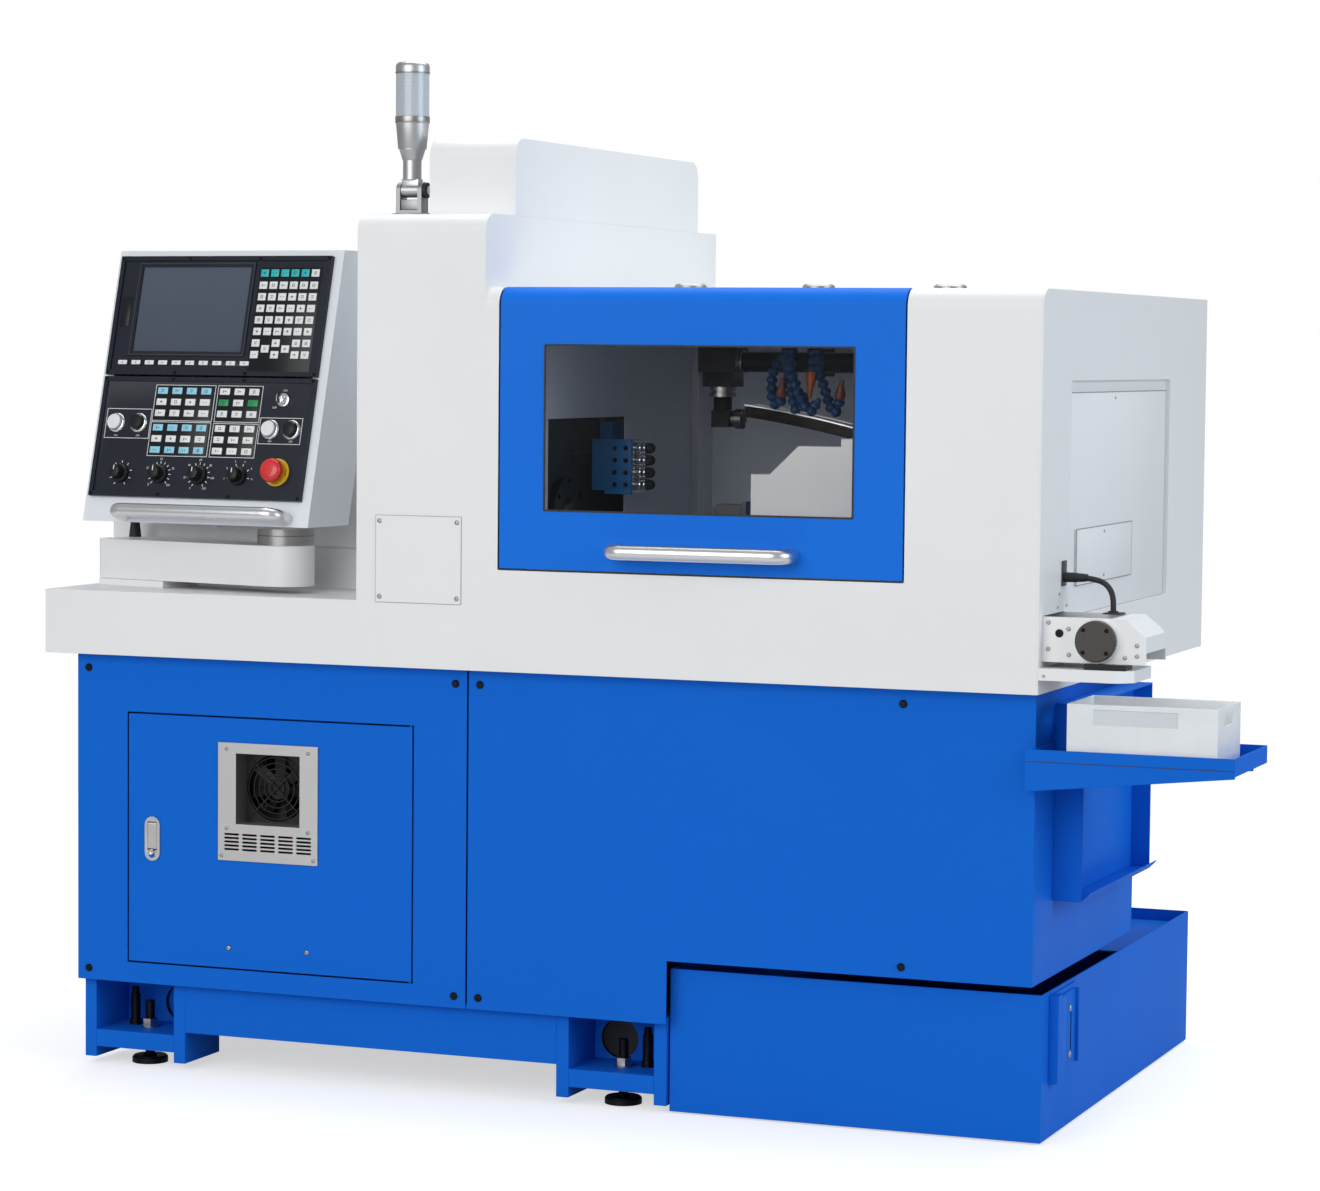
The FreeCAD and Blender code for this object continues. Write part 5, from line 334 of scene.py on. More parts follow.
black_plastic = plastic("black_plastic", (0.008, 0.008, 0.009), 0.36, specular_ior_level=0.3)
tool_black = metal("tool_black", (0.0045, 0.0045, 0.005), 0.3, (30, 30, 30))
chute_steel = metal("chute_steel", (0.016, 0.0145, 0.014), 0.36, (1, 30, 30))
# Painted shadow: a grey and a blue for thin lines laid along seams, gaps and edges where shade falls.
shadow_line_grey = plastic("shadow_line_grey", (0.33, 0.33, 0.34), 0.5)
shadow_line_blue = plastic("shadow_line_blue", (0.002, 0.022, 0.12), 0.5)
cover_brown = plastic("cover_brown", (0.040, 0.032, 0.030), 0.45, 700.0, 0.00003)
black_rubber = plastic("black_rubber", (0.014, 0.014, 0.014), 0.62, 500.0, 0.00008)
panel_black = plastic("panel_black", (0.008, 0.0115, 0.023), 0.36, 1400.0, 0.00002,
                      specular_ior_level=0.3)
film_black = plastic("film_black", (0.006, 0.007, 0.010), 0.3, 1600.0, 0.00001,
                     specular_ior_level=0.3)
key_white = plastic("key_white", (0.84, 0.85, 0.86), 0.4, 1600.0, 0.00001)
key_cyan = plastic("key_cyan", (0.012, 0.50, 0.52), 0.4, 1600.0, 0.00001)
key_blue = plastic("key_blue", (0.31, 0.66, 0.84), 0.4, 1600.0, 0.00001)
key_green = plastic("key_green", (0.010, 0.30, 0.085), 0.4, 1600.0, 0.00001)
key_ink = plastic("key_ink", (0.014, 0.015, 0.020), 0.5, 1600.0, 0.00001)
ring_yellow = plastic("ring_yellow", (0.80, 0.50, 0.012), 0.4, 900.0, 0.00001)
stop_red = plastic("stop_red", (0.70, 0.018, 0.020), 0.32, 900.0, 0.00001, coat=0.4)
bin_white = plastic("bin_white", (0.86, 0.865, 0.875), 0.36, 260.0, 0.00004, subsurface_weight=0.1)
# A grey copy of the bin's white for its recessed front band: painted shade in the recess.
bin_band_shade = plastic("bin_band_shade", (0.70, 0.73, 0.77), 0.4, 260.0, 0.00004)
hose_blue = plastic("hose_blue", (0.0005, 0.034, 0.115), 0.26, 300.0, specular_ior_level=0.32)
hose_red = plastic("hose_red", (0.15, 0.022, 0.010), 0.45, 300.0)
hose_orange = plastic("hose_orange", (0.56, 0.10, 0.010), 0.4, 300.0)
cast_grey = casting("cast_grey", (0.085, 0.088, 0.095))
print_white = plastic("print_white", (0.82, 0.83, 0.85), 0.5, 1600.0, 0.000005)
screw_steel = metal("screw_steel", (0.42, 0.41, 0.40), 0.3, (20, 20, 20), 100.0)
screw_black = metal("screw_black", (0.018, 0.018, 0.020), 0.42, (20, 20, 20), 100.0)
black_thread = threaded("black_thread", (0.020, 0.020, 0.022), 0.0022)
# The screen's glass, lighter towards its top: painted light.
screen_painted_light = display("screen_painted_light", (0.047, 0.063, 0.100), (0.068, 0.088, 0.132), 1.218, 1.375)
lamp_glass = ribbed_lens("lamp_glass", (0.47, 0.51, 0.56), 0.006)
window_glass = glass("window_glass", (0.03, 0.033, 0.036), 0.05, 0.03)


def dress(node, finish):
    mesh = NODES[node].data
    mesh.materials.clear()
    mesh.materials.append(finish.material)


# ---- Pieces ----
MERGE = 2e-6               # vertices of the solids closer than this are one
SLIVER = 1e-7
FLAT = math.radians(0.3)   # faces that turn less than this are one face
PATCH_PLAY = 0.0005        # how far a patched face may reach past its patch's corners
BEVEL_FROM = math.radians(30)


def add_piece(name, bm, finish, smooth=32, body="machine", replaces=(), bevel=0.0,
              segments=2, others=()):
    """Makes the finished object from a bmesh, in place, and lets it ride on its body."""
    mesh = bpy.data.meshes.new(name)
    for worn in (finish, *others):
        mesh.materials.append(worn.material)
    bm.to_mesh(mesh)
    bm.free()
    mesh.polygons.foreach_set("use_smooth", [True] * len(mesh.polygons))
    mesh.set_sharp_from_angle(angle=math.radians(smooth))
    piece = linked(name, mesh)
    if bevel:
        rounding = piece.modifiers.new("edges", "BEVEL")
        rounding.width = bevel
        rounding.segments = segments
        rounding.limit_method = "ANGLE"
        rounding.angle_limit = BEVEL_FROM
        rounding.harden_normals = True
    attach(piece, body)
    if replaces:
        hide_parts(*replaces)
    return piece


def within(point, low, high, margin=0.0):
    return all(a - margin <= c <= b + margin for c, a, b in zip(point, low, high))


def refine(node, finish, bevel, segments=2, patches=(), without=()):
    """Merged copy of a CAD node with softened edges, which stands for the node.

    A patch is (finish, low, high): the faces between two machine corners wear that finish.
    What lies between two corners of without is left out, because a piece of its own stands for it."""
    bm = bmesh.new()
    bm.from_mesh(NODES[node].data)
    bmesh.ops.remove_doubles(bm, verts=bm.verts, dist=MERGE)
    for low, high in without:
        inner = [v for v in bm.verts if within(v.co, M(*low), M(*high))]
        bmesh.ops.delete(bm, geom=inner, context="VERTS")
    bmesh.ops.dissolve_degenerate(bm, edges=bm.edges, dist=SLIVER)
    bmesh.ops.dissolve_limit(bm, angle_limit=FLAT, verts=bm.verts, edges=bm.edges)
    for number, (_, low, high) in enumerate(patches, 1):
        low, high = M(*low), M(*high)
        for face in bm.faces:
            if within(face.calc_center_median(), low, high) and \
                    all(within(vert.co, low, high, PATCH_PLAY) for vert in face.verts):
                face.material_index = number
    body = NODES[node]["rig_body"]
    add_piece(node + "_finished", bm, finish, 24, body, (node,), bevel, segments,
              [patch[0] for patch in patches])


def turned(bm, profile, base, axis, steps=32):
    """Adds a turned shape: profile is a list of (radius, height) in millimetres about axis at base."""
    axis = Vector(axis).normalized()
    side = axis.orthogonal().normalized()
    verts = [bm.verts.new(base + (side * r + axis * h) * MM) for r, h in profile]
    edges = [bm.edges.new(pair) for pair in zip(verts, verts[1:])]
    bmesh.ops.spin(bm, geom=verts + edges, cent=base, axis=axis, angle=math.tau, steps=steps,
                   use_merge=True)
    bmesh.ops.remove_doubles(bm, verts=bm.verts, dist=1e-6)
    bmesh.ops.recalc_face_normals(bm, faces=bm.faces)


def block(bm, centre, size, turn=None, bevel=0.0):
    """Adds a bevelled box of the given size in metres, turned by a 3 x 3 matrix about its centre."""
    place = Matrix.Translation(centre)
    if turn is not None:
        place = place @ turn.to_4x4()
    made = bmesh.ops.create_cube(bm, size=1.0, matrix=place @ Matrix.Diagonal((*size, 1.0)))
    if bevel:
        edges = list({e for v in made["verts"] for e in v.link_edges})
        bmesh.ops.bevel(bm, geom=edges, offset=bevel, affect="EDGES", segments=2, profile=0.5,
                        material=-1)


def panel_block(bm, x, y, low, high, width, length, bevel=0.0, spin=0.0):
    """Adds a block on the pendant's front between two heights, in millimetres."""
    turn = PANEL_TURN @ Matrix.Rotation(spin, 3, "Z")
    block(bm, P(x, y, (low + high) / 2), (width * MM, length * MM, (high - low) * MM), turn, bevel * MM)


# Screw heads with their sockets: radius and height for a head of radius 1.
BUTTON_HEAD = ((0, 0.2), (0.42, 0.2), (0.46, 0.55), (0.66, 0.52), (0.9, 0.33), (1, 0.07), (1, 0), (0, 0))
CAP_HEAD = ((0, 0.35), (0.5, 0.35), (0.55, 0.9), (0.92, 0.9), (1, 0.82), (1, 0), (0, 0))


def screw_heads(name, finish, slot, axis, radius, places, body="machine", head=BUTTON_HEAD):
    """Screw heads standing on a surface; radius in millimetres."""
    bm = bmesh.new()
    for place in places:
        turned(bm, [(r * radius, h * radius) for r, h in head], place, axis, 16)
    add_piece(name, bm, finish, 40, body)


def nurbs(name, places, resolution):
    """Curve data of a smooth line from the first place to the last."""
    data = bpy.data.curves.new(name, "CURVE")
    data.dimensions = "3D"
    spline = data.splines.new("NURBS")
    spline.points.add(len(places) - 1)
    for point, place in zip(spline.points, places):
        point.co = (*place, 1.0)
    spline.order_u = 3
    spline.use_endpoint_u = True
    data.resolution_u = resolution
    return data


def mesh_of(data):
    """The mesh that a curve's or a text's data makes."""
    source = bpy.data.objects.new("source", data)
    made = bpy.data.meshes.new_from_object(source)
    bpy.data.objects.remove(source)
    return made


# ---- Conveyor lead: a short cord from the strain relief on the housing's end to the motor ----
LEAD_START = M(1770, 138, 891)
LEAD_END = M(1845, 127.2, 841)
LEAD_ROUTE = [LEAD_START, LEAD_START + Vector((0.026, 0, 0)),
              LEAD_START + Vector((0.0516, -0.0027, -0.0036)),
              LEAD_START + Vector((0.065, -0.0061, -0.0116)),
              LEAD_START + Vector((0.0729, -0.0096, -0.0239)), LEAD_END + Vector((0, 0, 0.012)),
              LEAD_END]
LEAD_DIAMETER = 0.009


def lead():
    data = nurbs("conveyor_lead_line", LEAD_ROUTE, 16)
    data.bevel_depth = LEAD_DIAMETER / 2
    data.bevel_resolution = 6
    data.materials.append(black_rubber.material)
    cable = linked("conveyor_lead_cable", data)
    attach(cable, "machine")
    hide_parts("conveyor_lead")
    sleeve = bmesh.new()
    turned(sleeve, [(4.7, 0), (7.8, 0), (7.8, 12), (7.2, 14), (6.6, 24), (5.8, 30), (4.7, 30),
                    (4.7, 0)], LEAD_START, RIGHT)
    sleeve = add_piece("lead_strain_relief", sleeve, black_rubber)


lead()

# ---- Sheet metal, castings and fittings that keep their shape ----
FOOT_X = (149, 1036)
FOOT_Y = (100, 925)


def sheet_metal():
    caps = [(ring_aluminium, (x - 28, 142, 1343.05), (x + 28, 198, 1353)) for x in (1114, 1336, 1558)]
    for node, finish, bevel in (
            ("housing_front", white_enamel, 0.0006), ("housing_shell", white_enamel, 0.0005),
            ("housing_end", white_enamel, 0.0006), ("hump_cover", white_enamel, 0.0008),
            ("headstock_cover", white_enamel, 0.0006), ("front_door", door_enamel, 0.0007),
            ("cabinet_panels", blue_enamel, 0.0007), ("cabinet_walls", blue_enamel, 0.0006),
            ("side_shelf", blue_enamel, 0.0006), ("spindle_guard", guard_enamel, 0.0006),
            ("arm_base", white_enamel, 0.001), ("door_handle", satin_aluminium, 0.0012),
            ("pendant_handle", satin_aluminium, 0.001)):
        refine(node, finish, bevel)
    refine("cover_plates", white_enamel, 0.0004, patches=caps)
    refine("chamber_liner", liner_grey, 0.0005,
           patches=[(satin_aluminium, (887, 771, 860), (902.6, 848, 1500))])
    # The leg windows' bores wear black rubber: painted shade inside the holes.
    refine("base_frame", blue_enamel, 0.0012,
           patches=[(black_rubber, (x - 33.6, y - 0.6, 61.4), (x + 33.6, y + 10.6, 128.6))
                    for x in (180, 1005) for y in (160, 855)])
    # The recessed band on the bin's front is painted grey: painted shade in the recess.
    refine("parts_bin", bin_white, 0.0009, patches=[(bin_band_shade, (1840, 12, 670), (1990, 13, 708))])
    refine("coolant_tank", blue_enamel, 0.0008, without=[((1764.1, 190, 95), (1800, 210, 235))])
    refine("cabinet_door", blue_enamel, 0.0006,
           patches=[(plate_aluminium, (180.9, 21, 362.9), (210.1, 46, 439.1))])
    refine("cooler_plate", plate_aluminium, 0.0005,
           patches=[(dark_steel, (354, 25.1, 433), (478, 70, 557))])


def strip(bm, a, b, wide, thick):
    """Adds a thin bar from a to b, in machine millimetres, with a square-cut section."""
    start, end = M(*a), M(*b)
    turn = (end - start).to_track_quat("X", "Z").to_matrix()
    block(bm, (start + end) / 2, ((end - start).length, thick * MM, wide * MM), turn)


def upright_frame(bm, low, high, wide, thick):
    """Adds four bars along the edges of an upright rectangle between two machine corners."""
    across = 0 if low[0] == high[0] else 1
    for run, edge in ((1 - across, 2), (2, 1 - across)):
        for end in (low[edge], high[edge]):
            centre = [(a + b) / 2 for a, b in zip(low, high)]
            size = [wide * MM] * 3
            centre[edge] = end
            size[across], size[run] = thick * MM, (high[run] - low[run]) * MM
            block(bm, M(*centre), size)


def sheet_details():
    """Inner cover panels, folded pull on the tank and window gasket, with dark lines, strips and discs
    as painted shade along seams and edges, in gaps, in the pull's slot and behind the leg windows.
    """
    covers = bmesh.new()
    block(covers, M(1754.5, 496, 1003.5), (0.005, 0.628, 0.355), bevel=0.0008)
    block(covers, M(1759, 391.5, 918), (0.004, 0.355, 0.090), bevel=0.0006)
    add_piece("end_cover_panels", covers, white_enamel, 30)
    # Grey lines round the raised end cover panels: painted shadow along their edges.
    lines = bmesh.new()
    upright_frame(lines, (1756.8, 182, 826), (1756.8, 810, 1181), 1.8, 0.8)
    upright_frame(lines, (1760.8, 214, 873), (1760.8, 569, 963), 1.8, 0.8)
    add_piece("end_cover_shadow_lines", lines, shadow_line_grey, 30)
    # A grey line round the access plate: painted shadow in the gap at its edge.
    seams = bmesh.new()
    upright_frame(seams, (626.6, -0.4, 822.6), (781.4, -0.4, 966.4), 1.0, 0.8)
    add_piece("access_plate_shadow_line", seams, shadow_line_grey, 30)
    plate = bmesh.new()
    block(plate, M(1761, 140, 897), (0.0018, 0.026, 0.040), bevel=0.0004)
    add_piece("lead_socket_plate", plate, dark_steel, 30)
    # A dark blue line under the shelf's lip: painted shadow that the lip casts.
    shelf_shadow = bmesh.new()
    strip(shelf_shadow, (1742, 4.9, 611), (2069, 4.9, 611), 1.4, 0.5)
    add_piece("shelf_shadow_line", shelf_shadow, shadow_line_blue, 30)
    pull = bmesh.new()
    block(pull, M(1770, 119, 169), (0.012, 0.053, 0.118), bevel=0.003)
    block(pull, M(1765.4, 191, 164), (0.003, 0.088, 0.120), bevel=0.0008)
    block(pull, M(1768.5, 234, 164), (0.008, 0.003, 0.120), bevel=0.0008)
    add_piece("tank_pull", pull, blue_enamel, 30, "tank")
    # A black strip down the pull: painted shade in its slot.
    slot = bmesh.new()
    strip(slot, (1767.0, 203, 128), (1767.0, 203, 189), 2.6, 0.5)
    add_piece("tank_pull_slot_shade", slot, black_rubber, 30, "tank")
    # Black discs just behind the right leg's windows: painted shade seen through the holes.
    window_shades = bmesh.new()
    for y, ahead in ((170.3, 1), (854.7, -1)):
        turned(window_shades, [(0, 0), (36, 0), (36, 1.5), (0, 1.5)], M(1005, y, 95), (0, ahead, 0), 40)
    add_piece("leg_window_shade_discs", window_shades, black_rubber, 30)
    gasket = bmesh.new()
    upright_frame(gasket, (928, 0, 981), (1455, 0, 1249), 3.0, 1.6)
    add_piece("window_gasket", gasket, black_rubber, 30, "front_door")
    # A black strip behind the door's lower gap: painted shade in the gap.
    gap = bmesh.new()
    strip(gap, (850, 2, 882.9), (1537, 2, 882.9), 2.8, 4.0)
    add_piece("door_gap_shade_strip", gap, black_rubber, 30)


def fittings():
    nuts = [(screw_steel, (x - 15.5, y - 15.5, 60), (x + 15.5, y + 15.5, 76)) for x in FOOT_X
            for y in FOOT_Y]
    refine("levelling_feet", black_thread, 0.0005, patches=nuts)
    refine("panel_bolts", screw_black, 0.0003)
    refine("latch_paddle", plate_aluminium, 0.0006)
    refine("fan_guard", black_plastic, 0.0007)
    refine("fan_rotor", black_plastic, 0.0004)
    refine("conveyor_frame", white_enamel, 0.0006,
           patches=[(cover_brown, (1815, 2, 768), (1881, 14.9, 834)),
                    (black_plastic, (1829, 7, 756.6), (1897, 53, 766.4)),
                    (black_rubber, (1760.1, 128, 881), (1771, 148, 901)),
                    (black_rubber, (1830, 112, 836.1), (1860, 151, 842))])
    for node, finish in (("conveyor_belt", black_rubber), ("drive_roller", ground_steel),
                         ("idle_roller", ground_steel), ("door_window", window_glass)):
        dress(node, finish)


def machining_side():
    rails = [(dark_steel, (819, 360, 1040), (831, 712, 1066)),
             (dark_steel, (819, 360, 1104), (831, 712, 1132)),
             (dark_steel, (759, 267, 902), (843, 393, 1028))]
    refine("machine_bed", cast_grey, 0.0008, patches=rails)
    refine("headstock", cast_grey, 0.001)
    refine("cross_slide", dark_steel, 0.0006)
    refine("tool_block", block_enamel, 0.0006,
           patches=[(turned_steel, (922.9, 400, 996), (951, 440, 1088))])
    refine("driven_head", tool_black, 0.0008,
           patches=[(ring_aluminium, (1088, 305, 1163), (1138, 355, 1183)),
                    (dark_steel, (1088, 305, 1126), (1138, 355, 1163)),
                    (bright_chrome, (1145.9, 305, 1190), (1151.2, 355, 1260))])
    refine("driven_cutter", dark_steel, 0.0004)
    refine("sub_spindle", cast_grey, 0.001,
           patches=[(block_enamel, (1165.5, 279, 924), (1175.5, 321, 992)),
                    (black_plastic, (1115, 279, 944), (1165.4, 321, 987))])
    for node, finish in (("main_spindle", turned_steel), ("sub_chuck", tool_black)):
        dress(node, finish)


CHUTE_X = (1098, 1638)
CHUTE_Z = (1148, 1092.6, 995)   # heights at the start, the middle and the end
CHUTE_STEPS = 32


def chute_line(t):
    """Point on the parabola through the chute's three heights, for t from 0 to 1."""
    shares = ((1 - t) * (1 - 2 * t), 4 * t * (1 - t), t * (2 * t - 1))
    return (CHUTE_X[0] + (CHUTE_X[1] - CHUTE_X[0]) * t, sum(s * z for s, z in zip(shares, CHUTE_Z)))


def chute_walls():
    """Side walls under the parts chute, each with a bright strip on top that is a painted highlight."""
    line = [chute_line(i / CHUTE_STEPS) for i in range(CHUTE_STEPS + 1)]
    walls, edges = bmesh.new(), bmesh.new()
    for y in (479.2, 540.8):
        row = [walls.verts.new(M(x, y, z + 1.5)) for x, z in line]
        chain = [walls.edges.new(pair) for pair in zip(row, row[1:])]
        made = bmesh.ops.extrude_edge_only(walls, edges=chain)["geom"]
        bmesh.ops.translate(walls, vec=(0, 0, -0.0205),
                            verts=[g for g in made if isinstance(g, bmesh.types.BMVert)])
        for (xa, za), (xb, zb) in zip(line, line[1:]):
            # Bright strips along the walls' tops: painted highlight.
            strip(edges, (xa, y - 1.0, za + 1.8), (xb, y - 1.0, zb + 1.8), 2.4, 2.2)
    bmesh.ops.solidify(walls, geom=walls.faces[:], thickness=0.0016)
    bmesh.ops.recalc_face_normals(walls, faces=walls.faces)
    add_piece("chute_walls", walls, chute_steel, 30)
    add_piece("chute_highlight_strips", edges, satin_aluminium, 60)


sheet_metal()
sheet_details()
fittings()
machining_side()
chute_walls()

# ---- Fasteners ----
# The tool block's sleeves, from the lowest up.
SLEEVES = 4
SLEEVE_Z = 1010.5
SLEEVE_PITCH = 21

# Screws: name, finish, slot, axis, radius, places, body if it isn't the machine, and shape of the head.
SCREWS = (
    ("access_plate_screws", screw_steel, "white_paint", FRONT, 4.2,
     [M(x, -1.5, z) for x in (634, 774) for z in (832, 957)]),
    ("end_cover_screws", screw_steel, "white_paint", RIGHT, 2.6,
     [M(1760, y, z) for y, z in ((117.3, 865.4), (106.9, 845.0), (167.4, 894.3), (160, 845))]),
    ("cover_strip_screws", screw_steel, "white_paint", RIGHT, 2.8,
     [M(1757, 458, z) for z in (1171, 836)] + [M(1761, 385, z) for z in (954, 882)]),
    ("conveyor_screws", screw_steel, "steel", FRONT, 3.6,
     [M(x, 20, z) for x, z in ((1770, 827), (1802, 818), (1770, 786), (1803, 778),
                               (1910.7, 795.8), (1911, 779.4), (1892, 776.6))]),
    ("motor_screws", screw_black, "steel", FRONT, 3.4,
     [M(1848 + x, 3, 801 + z) for x in (-18.5, 18.5) for z in (-17.5, 17.5)]),
    ("tray_screw", screw_steel, "steel", FRONT, 2.6, [M(1769, 0, 745)]),
    ("bush_screws", screw_black, "steel", RIGHT, 4.5,
     [M(834, 330 + 53 * math.cos(a), 965 + 53 * math.sin(a))
      for a in (math.tau * (i + 0.5) / 6 for i in range(6))]),
    ("lamp_flange_screws", screw_steel, "steel", UP, 2.2,
     [M(619 + 21.5 * math.cos(a), 150 + 21.5 * math.sin(a), 1467)
      for a in (math.tau * i / 3 - math.pi / 2 for i in range(3))]),
    ("lamp_base_screws", screw_black, "steel", UP, 2.6,
     [M(x, 150, 1467) for x in (589, 649)]),
    ("cooler_screws", screw_steel, "aluminium", FRONT, 3.3,
     [M(x, 22, z) for x, z in ((338.4, 562), (492, 561), (338.6, 427), (492, 427), (329, 380),
                               (502, 380))], "electric_door"),
    ("door_pan_screws", screw_steel, "steel", FRONT, 4.6,
     [M(341.2, 25, 222), M(489, 25, 224)], "electric_door"),
    ("tool_set_screws", screw_black, "steel", FRONT, 4.4,
     [M(x, 394, SLEEVE_Z + SLEEVE_PITCH * i) for x in (891.5, 912) for i in range(SLEEVES)],
     "tool_block"),
    ("tank_pull_screws", screw_steel, "steel", RIGHT, 5.6,
     [M(1766.9, 198, z) for z in (121, 196)], "tank"),
    ("latch_lock", bright_chrome, "steel", FRONT, 5.0,
     [M(195.5, 20.5, 378.5)], "electric_door", CAP_HEAD),
    ("bridge_screws", screw_steel, "steel", RIGHT, 5.0,
     [M(824.2, y, z) for y, z in ((208, 1046), (208, 978), (240, 1100), (240, 930))],
     "machine", CAP_HEAD))


def fasteners():
    for row in SCREWS:
        screw_heads(*row)
    bm = bmesh.new()
    for profile in ([(4.2, 0), (6.4, 0), (6.4, 1.2), (5.8, 1.6), (4.2, 1.6), (4.2, 0)],
                    [(0, 0.2), (4.3, 0.2), (4.3, 0.6), (0, 0.6)]):
        turned(bm, profile, M(1787.5, 20, 811), FRONT, 24)
    add_piece("conveyor_plug", bm, screw_black, 35)


fasteners()

# ---- Pendant and arm ----
UNIT_FACE = 6.0            # height of the units' faces, and of the key films' tops
FILM_FACE = 6.5
KEY_FACE = 8.0
PRINT_RISE = 0.08          # thickness of the print
UNITS = ((9.5, 434.5, 258.0, 469.0), (9.5, 434.5, 43.5, 254.5))
DISPLAY_KEY, DISPLAY_PITCH = (15.5, 13.0), (20.1, 20.3)
SOFT_KEY, SOFT_PITCH = (18.0, 7.5), 27.5
OPERATOR_KEY, OPERATOR_PITCH = (20.0, 11.5), (29.3, 19.6)
KNOB_X = [68.5 + 79.2 * i for i in range(4)]
KNOB_Y = 84.0
BUTTONS = ((47.0, 172.5), (92.0, 173.0), (358.5, 165.5), (400.0, 165.5))
STOP_PLACE = (381.5, 92.0)
LOCK_PLACE = (376.5, 217.0)


def display_places():
    """Six full rows, two rows with four keys, and two keys halfway between those."""
    rows = [439.0] + [417.5 - DISPLAY_PITCH[1] * i for i in range(7)]
    columns = [305 + DISPLAY_PITCH[0] * i for i in range(6)]
    places = [(x, y) for y in rows[:6] for x in columns]
    places += [(columns[i], y) for y in rows[6:] for i in (0, 2, 4, 5)]
    return places + [(columns[i], (rows[6] + rows[7]) / 2) for i in (1, 3)]


def operator_places(first, columns):
    """Two groups of three rows, from the column at first."""
    right, down = OPERATOR_PITCH
    rows = [top - down * i for top in (230.3, 165.6) for i in range(3)]
    return [[(first + right * i, y) for i in range(columns)] for y in rows]


def key_groups():
    """Every key's place and size, under the finish that its cap has."""
    display, left, right = display_places(), operator_places(132, 4), operator_places(257.5, 3)
    soft = [((40.5 + SOFT_PITCH * i, 280), SOFT_KEY) for i in range(10)]
    cyan = [(place, DISPLAY_KEY) for place in display[:5]]
    white = [(place, DISPLAY_KEY) for place in display[5:]] + soft
    blue = [(place, OPERATOR_KEY) for row in (0, 3, 5) for place in left[row]]
    white += [(place, OPERATOR_KEY) for row in (1, 2, 4) for place in left[row]]
    white += [(place, OPERATOR_KEY) for row in (0, 2, 3, 4, 5) for place in right[row]]
    white.append((right[1][1], OPERATOR_KEY))
    green = [(right[1][column], OPERATOR_KEY) for column in (0, 2)]
    return {"white": (key_white, white), "cyan": (key_cyan, cyan), "blue": (key_blue, blue),
            "green": (key_green, green)}


# Neutral marks on the keys: each bar's centre, width and height in millimetres.
MARKS = ([(0, 1.6, 6.0, 1.1), (0, -1.6, 4.4, 1.1)], [(0, 0, 5.4, 1.2), (0, 0, 1.2, 5.0)],
         [(-2.4, 0, 1.3, 4.6), (1.6, 0, 4.0, 1.3)], [(-2.4, 0, 1.6, 1.6), (2.4, 0, 1.6, 1.6)],
         [(0, 2.0, 5.6, 0.9), (0, 0, 5.6, 0.9), (0, -2.0, 5.6, 0.9)],
         [(-2.2, 0, 0.9, 4.8), (2.2, 0, 0.9, 4.8), (0, 2.0, 4.6, 0.9), (0, -2.0, 4.6, 0.9)])


def keys():
    chance = random.Random(5)
    marks = bmesh.new()
    for colour, (finish, places) in key_groups().items():
        caps = bmesh.new()
        for (x, y), size in places:
            panel_block(caps, x, y, FILM_FACE - 0.1, KEY_FACE, *size, bevel=0.6)
            scale = min(1.0, size[1] / 11.0)
            for dx, dy, width, length in chance.choice(MARKS):
                panel_block(marks, x + dx * scale, y + dy * scale, KEY_FACE - 0.02, KEY_FACE + 0.05,
                            width * scale, length * scale)
        add_piece("keys_" + colour, caps, finish, 30, "pendant")
    add_piece("key_marks", marks, key_ink, 30, "pendant")
    films = bmesh.new()
    for x0, x1, y0, y1 in ((293.25, 417.25, 264.9, 449.5), (30.3, 298.2, 275.05, 284.95),
                           (118, 233.9, 116.65, 240.05), (243.5, 330.1, 116.65, 240.05)):
        panel_block(films, (x0 + x1) / 2, (y0 + y1) / 2, UNIT_FACE - 0.2, FILM_FACE, x1 - x0, y1 - y0,
                    0.3)
    add_piece("key_films", films, film_black, 30, "pendant", ("control_keys",))


def line_frame(bm, x0, x1, y0, y1, wide=1.0, low=UNIT_FACE, high=FILM_FACE + PRINT_RISE):
    for x in (x0, x1):
        panel_block(bm, x, (y0 + y1) / 2, low, high, wide, y1 - y0 + wide)
    for y in (y0, y1):
        panel_block(bm, (x0 + x1) / 2, y, low, high, x1 - x0 - wide, wide)


def panel_words(bm, words, x, y, size):
    """Adds printed words as a thin mesh centred at a place on the units."""
    data = bpy.data.curves.new("print", "FONT")
    data.body = words
    data.size = size * MM
    data.extrude = PRINT_RISE / 2 * MM
    data.align_x = "CENTER"
    data.align_y = "CENTER"
    data.resolution_u = 2
    made = mesh_of(data)
    made.transform(Matrix.Translation(P(x, y, UNIT_FACE + PRINT_RISE / 2)) @ PANEL_TURN.to_4x4())
    bm.from_mesh(made)
    bpy.data.meshes.remove(made)


# Round the knobs: the numbers, how many ticks, and how far they reach to either side, in degrees.
DIALS = (("", 9, 150), ("0 25 50 75 100", 13, 135), ("0 20 40 60 80 100 120", 13, 150),
         ("1 2 3 4 5 6", 6, 100))
TICK_RADIUS = 20.4
NUMBER_RADII = (28.0, 26.6)   # across and up


